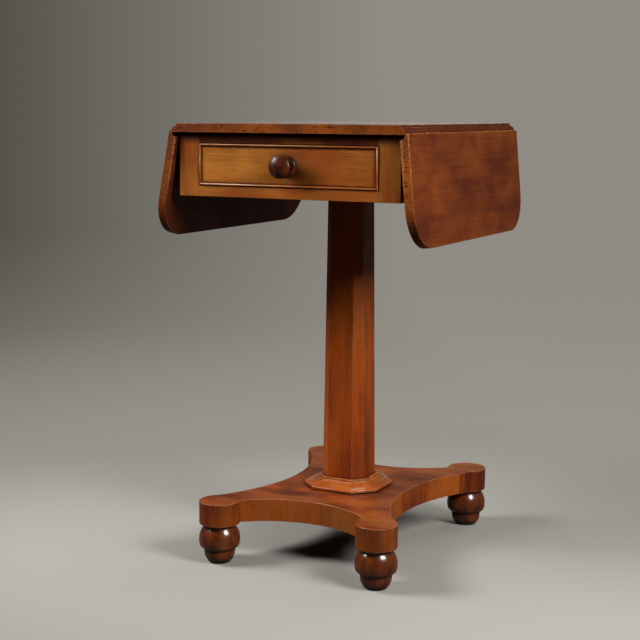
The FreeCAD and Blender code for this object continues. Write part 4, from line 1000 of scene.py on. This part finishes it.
def studio_paint():
    """Matt studio paint: pale on the floor, darker up the wall, which is lit more at one side,
    and clear from below. A band at the table's height glows brighter in reflections only, a painted sheen on
    the top's polish."""
    colours = bpy.context.scene.table_colours
    material, tree = blank_material("studio_paint")
    spot = add(tree, "ShaderNodeTexCoord").outputs["Object"]
    place = add(tree, "ShaderNodeSeparateXYZ", {0: spot}).outputs
    far = add(tree, "ShaderNodeVectorMath", {0: spot}, operation="LENGTH").outputs["Value"]
    rise = add(
        tree, "ShaderNodeMapRange", {"Value": far, "From Min": WALL_START, "From Max": WALL_FULL},
        interpolation_type="SMOOTHSTEP",
    ).outputs["Result"]
    side = add(
        tree, "ShaderNodeVectorMath", {0: spot, 1: LIGHT_SIDE}, operation="DOT_PRODUCT"
    ).outputs["Value"]
    low, high = LIGHT_SPAN
    side = add(
        tree, "ShaderNodeMapRange", {"Value": side, "From Min": low, "From Max": high}
    ).outputs["Result"]
    wall = add(
        tree, "ShaderNodeMix", {0: side, 6: colours.wall_shade, 7: colours.wall_light}, data_type="RGBA"
    ).outputs[2]
    low, high = CLIMB_SPAN
    climb = add(
        tree, "ShaderNodeMapRange", {"Value": far, "From Min": low, "From Max": high}
    ).outputs["Result"]
    wall = add(tree, "ShaderNodeMix", {0: climb, 6: colours.far_floor, 7: wall}, data_type="RGBA").outputs[2]
    floor = add(tree, "ShaderNodeBsdfDiffuse", {"Color": colours.floor}).outputs[0]
    paths = add(tree, "ShaderNodeLightPath").outputs
    # Painted reflection: the band at the table's height glows brighter for glossy rays only.
    level = add(
        tree, "ShaderNodeMath", {0: place["Z"], 1: TABLE_LEVEL, 2: LEVEL_BAND}, operation="COMPARE"
    ).outputs[0]
    behind = add(tree, "ShaderNodeMath", {0: place["X"], 1: LEVEL_END}, operation="LESS_THAN").outputs[0]
    level = add(tree, "ShaderNodeMath", {0: level, 1: behind}, operation="MULTIPLY").outputs[0]
    mirrored = add(
        tree, "ShaderNodeMath", {0: level, 1: paths["Is Glossy Ray"]}, operation="MULTIPLY"
    ).outputs[0]
    bright = add(
        tree, "ShaderNodeMath", {0: mirrored, 1: LEVEL_PAINTED_GLOW, 2: 1.0}, operation="MULTIPLY_ADD"
    ).outputs[0]
    glow = add(tree, "ShaderNodeEmission", {"Color": wall, "Strength": bright}).outputs[0]
    seen = add(tree, "ShaderNodeMixShader", {0: rise, 1: floor, 2: glow}).outputs[0]
    dim = add(tree, "ShaderNodeBsdfDiffuse", {"Color": colours.studio_dim}).outputs[0]
    low, high = MIRROR_SPAN
    backdrop = add(
        tree, "ShaderNodeMapRange",
        {"Value": place["Y"], "From Min": low, "From Max": high, "To Max": BACKDROP_SHEEN},
    ).outputs["Result"]
    backdrop = add(
        tree, "ShaderNodeMath", {0: level, 1: place["Y"], 2: backdrop},
        operation="MULTIPLY_ADD", use_clamp=True,
    ).outputs[0]
    shown = add(
        tree, "ShaderNodeMath", {0: paths["Is Glossy Ray"], 1: backdrop, 2: paths["Is Camera Ray"]},
        operation="MULTIPLY_ADD",
    ).outputs[0]
    mixed = add(tree, "ShaderNodeMixShader", {0: shown, 1: dim, 2: seen}).outputs[0]
    below = add(tree, "ShaderNodeNewGeometry").outputs["Backfacing"]
    clear = add(tree, "ShaderNodeBsdfTransparent").outputs[0]
    open_below = add(tree, "ShaderNodeMixShader", {0: below, 1: mixed, 2: clear}).outputs[0]
    add(tree, "ShaderNodeOutputMaterial", {"Surface": open_below})
    return material


def stage_mesh():
    """Round floor that curves up into a wall on all sides, facing inwards."""
    rows = [(0.0, 0.0), (FLOOR_RADIUS / 2, 0.0), (FLOOR_RADIUS, 0.0)]
    for step in range(1, COVE_STEPS + 1):
        turn = math.pi / 2 * step / COVE_STEPS
        rows.append((FLOOR_RADIUS + COVE_RADIUS * math.sin(turn), COVE_RADIUS * (1 - math.cos(turn))))
    rows.append((FLOOR_RADIUS + COVE_RADIUS, WALL_HEIGHT))
    form = bmesh.new()
    line = [form.verts.new((radius, 0, height)) for radius, height in rows]
    edges = [form.edges.new(pair) for pair in zip(line, line[1:])]
    bmesh.ops.spin(
        form, geom=line + edges, cent=(0, 0, 0), axis=(0, 0, 1), angle=2 * math.pi, steps=STAGE_STEPS
    )
    bmesh.ops.remove_doubles(form, verts=form.verts, dist=MERGE)
    bmesh.ops.recalc_face_normals(form, faces=form.faces)
    bmesh.ops.reverse_faces(form, faces=form.faces)
    mesh = bpy.data.meshes.new("studio")
    form.to_mesh(mesh)
    form.free()
    mesh.shade_smooth()
    return mesh


# The camera's place in metres, and its lens and sensor in millimetres.
CAMERA_PLACE = Vector((1.0297, -2.1715, 0.7559))
CAMERA_YAW = math.radians(26.62)
CAMERA_PITCH = math.radians(8.515)
CAMERA_ROLL = math.radians(0.33)
CAMERA_LENS = 78.8
SENSOR_WIDTH = 36.0
FILL_SIZE = 1.8  # a lamp as large as this is a fill, which the polish doesn't mirror
LAMPS = {
    "left_softbox": {"place": (-1.17, -0.72, 1.45), "size": 0.7, "power": 30.0},
    "right_softbox": {"place": (1.42, -0.56, 1.30), "size": 0.7, "power": 32.0},
    "back_fill": {"place": (0.90, 2.00, 1.90), "size": FILL_SIZE, "power": 14.0},
}
LAMP_AIM = Vector((0, 0, 0.35))
ROOM_LIGHT = 0.05


class TABLE_OT_stage(bpy.types.Operator):
    """Studio floor and wall, lamps, room light and camera"""

    bl_idname = "table.stage"
    bl_label = "Stage"

    def execute(self, context):
        scene = context.scene
        studio = bpy.data.objects.new("studio", stage_mesh())
        studio.data.materials.append(studio_paint())
        scene.collection.objects.link(studio)
        for name, lamp in LAMPS.items():
            data = bpy.data.lights.new(name, "AREA")
            data.shape = "SQUARE"
            data.size = lamp["size"]
            data.energy = lamp["power"]
            holder = bpy.data.objects.new(name, data)
            holder.location = lamp["place"]
            holder.rotation_euler = (holder.location - LAMP_AIM).to_track_quat("Z", "Y").to_euler()
            holder.visible_camera = False
            holder.visible_glossy = lamp["size"] < FILL_SIZE
            scene.collection.objects.link(holder)
        world = bpy.data.worlds.new("room")
        world.use_nodes = True
        glow = world.node_tree.nodes["Background"].inputs
        glow["Color"].default_value = scene.table_colours.floor
        glow["Strength"].default_value = ROOM_LIGHT
        scene.world = world
        camera = bpy.data.objects.new("camera", bpy.data.cameras.new("camera"))
        camera.data.lens = CAMERA_LENS
        camera.data.sensor_width = SENSOR_WIDTH
        tilt = math.pi / 2 - CAMERA_PITCH
        turn = Matrix.Rotation(CAMERA_YAW, 3, "Z") @ Matrix.Rotation(tilt, 3, "X")
        turn = turn @ Matrix.Rotation(CAMERA_ROLL, 3, "Z")
        camera.matrix_world = Matrix.Translation(CAMERA_PLACE) @ turn.to_4x4()
        scene.collection.objects.link(camera)
        scene.camera = camera
        scene.view_settings.view_transform = "Standard"
        return {"FINISHED"}


OPERATORS = (
    TABLE_OT_top_and_leaves,
    TABLE_OT_carcass,
    TABLE_OT_fly_brackets,
    TABLE_OT_drawer,
    TABLE_OT_pedestal,
    TABLE_OT_feet,
    TABLE_OT_ironwork,
    TABLE_OT_stage,
)


class TABLE_PT_pieces(bpy.types.Panel):
    """Lists the table's pieces"""

    bl_idname = "TABLE_PT_pieces"
    bl_label = "Pembroke Table"
    bl_space_type = "VIEW_3D"
    bl_region_type = "UI"
    bl_category = "Table"

    def draw(self, context):
        for operator in OPERATORS:
            self.layout.operator(operator.bl_idname)


CLASSES = (TableSizes, TableColours, *OPERATORS, TABLE_PT_pieces)


def register():
    for kind in CLASSES:
        bpy.utils.register_class(kind)
    bpy.types.Scene.table_sizes = bpy.props.PointerProperty(type=TableSizes)
    bpy.types.Scene.table_colours = bpy.props.PointerProperty(type=TableColours)


def unregister():
    del bpy.types.Scene.table_colours
    del bpy.types.Scene.table_sizes
    for kind in reversed(CLASSES):
        bpy.utils.unregister_class(kind)


def main():
    register()
    bpy.ops.table.top_and_leaves()
    bpy.ops.table.carcass()
    bpy.ops.table.fly_brackets()
    bpy.ops.table.drawer()
    bpy.ops.table.pedestal()
    bpy.ops.table.feet()
    bpy.ops.table.ironwork()
    bpy.ops.table.stage()


if __name__ == "__main__":
    main()
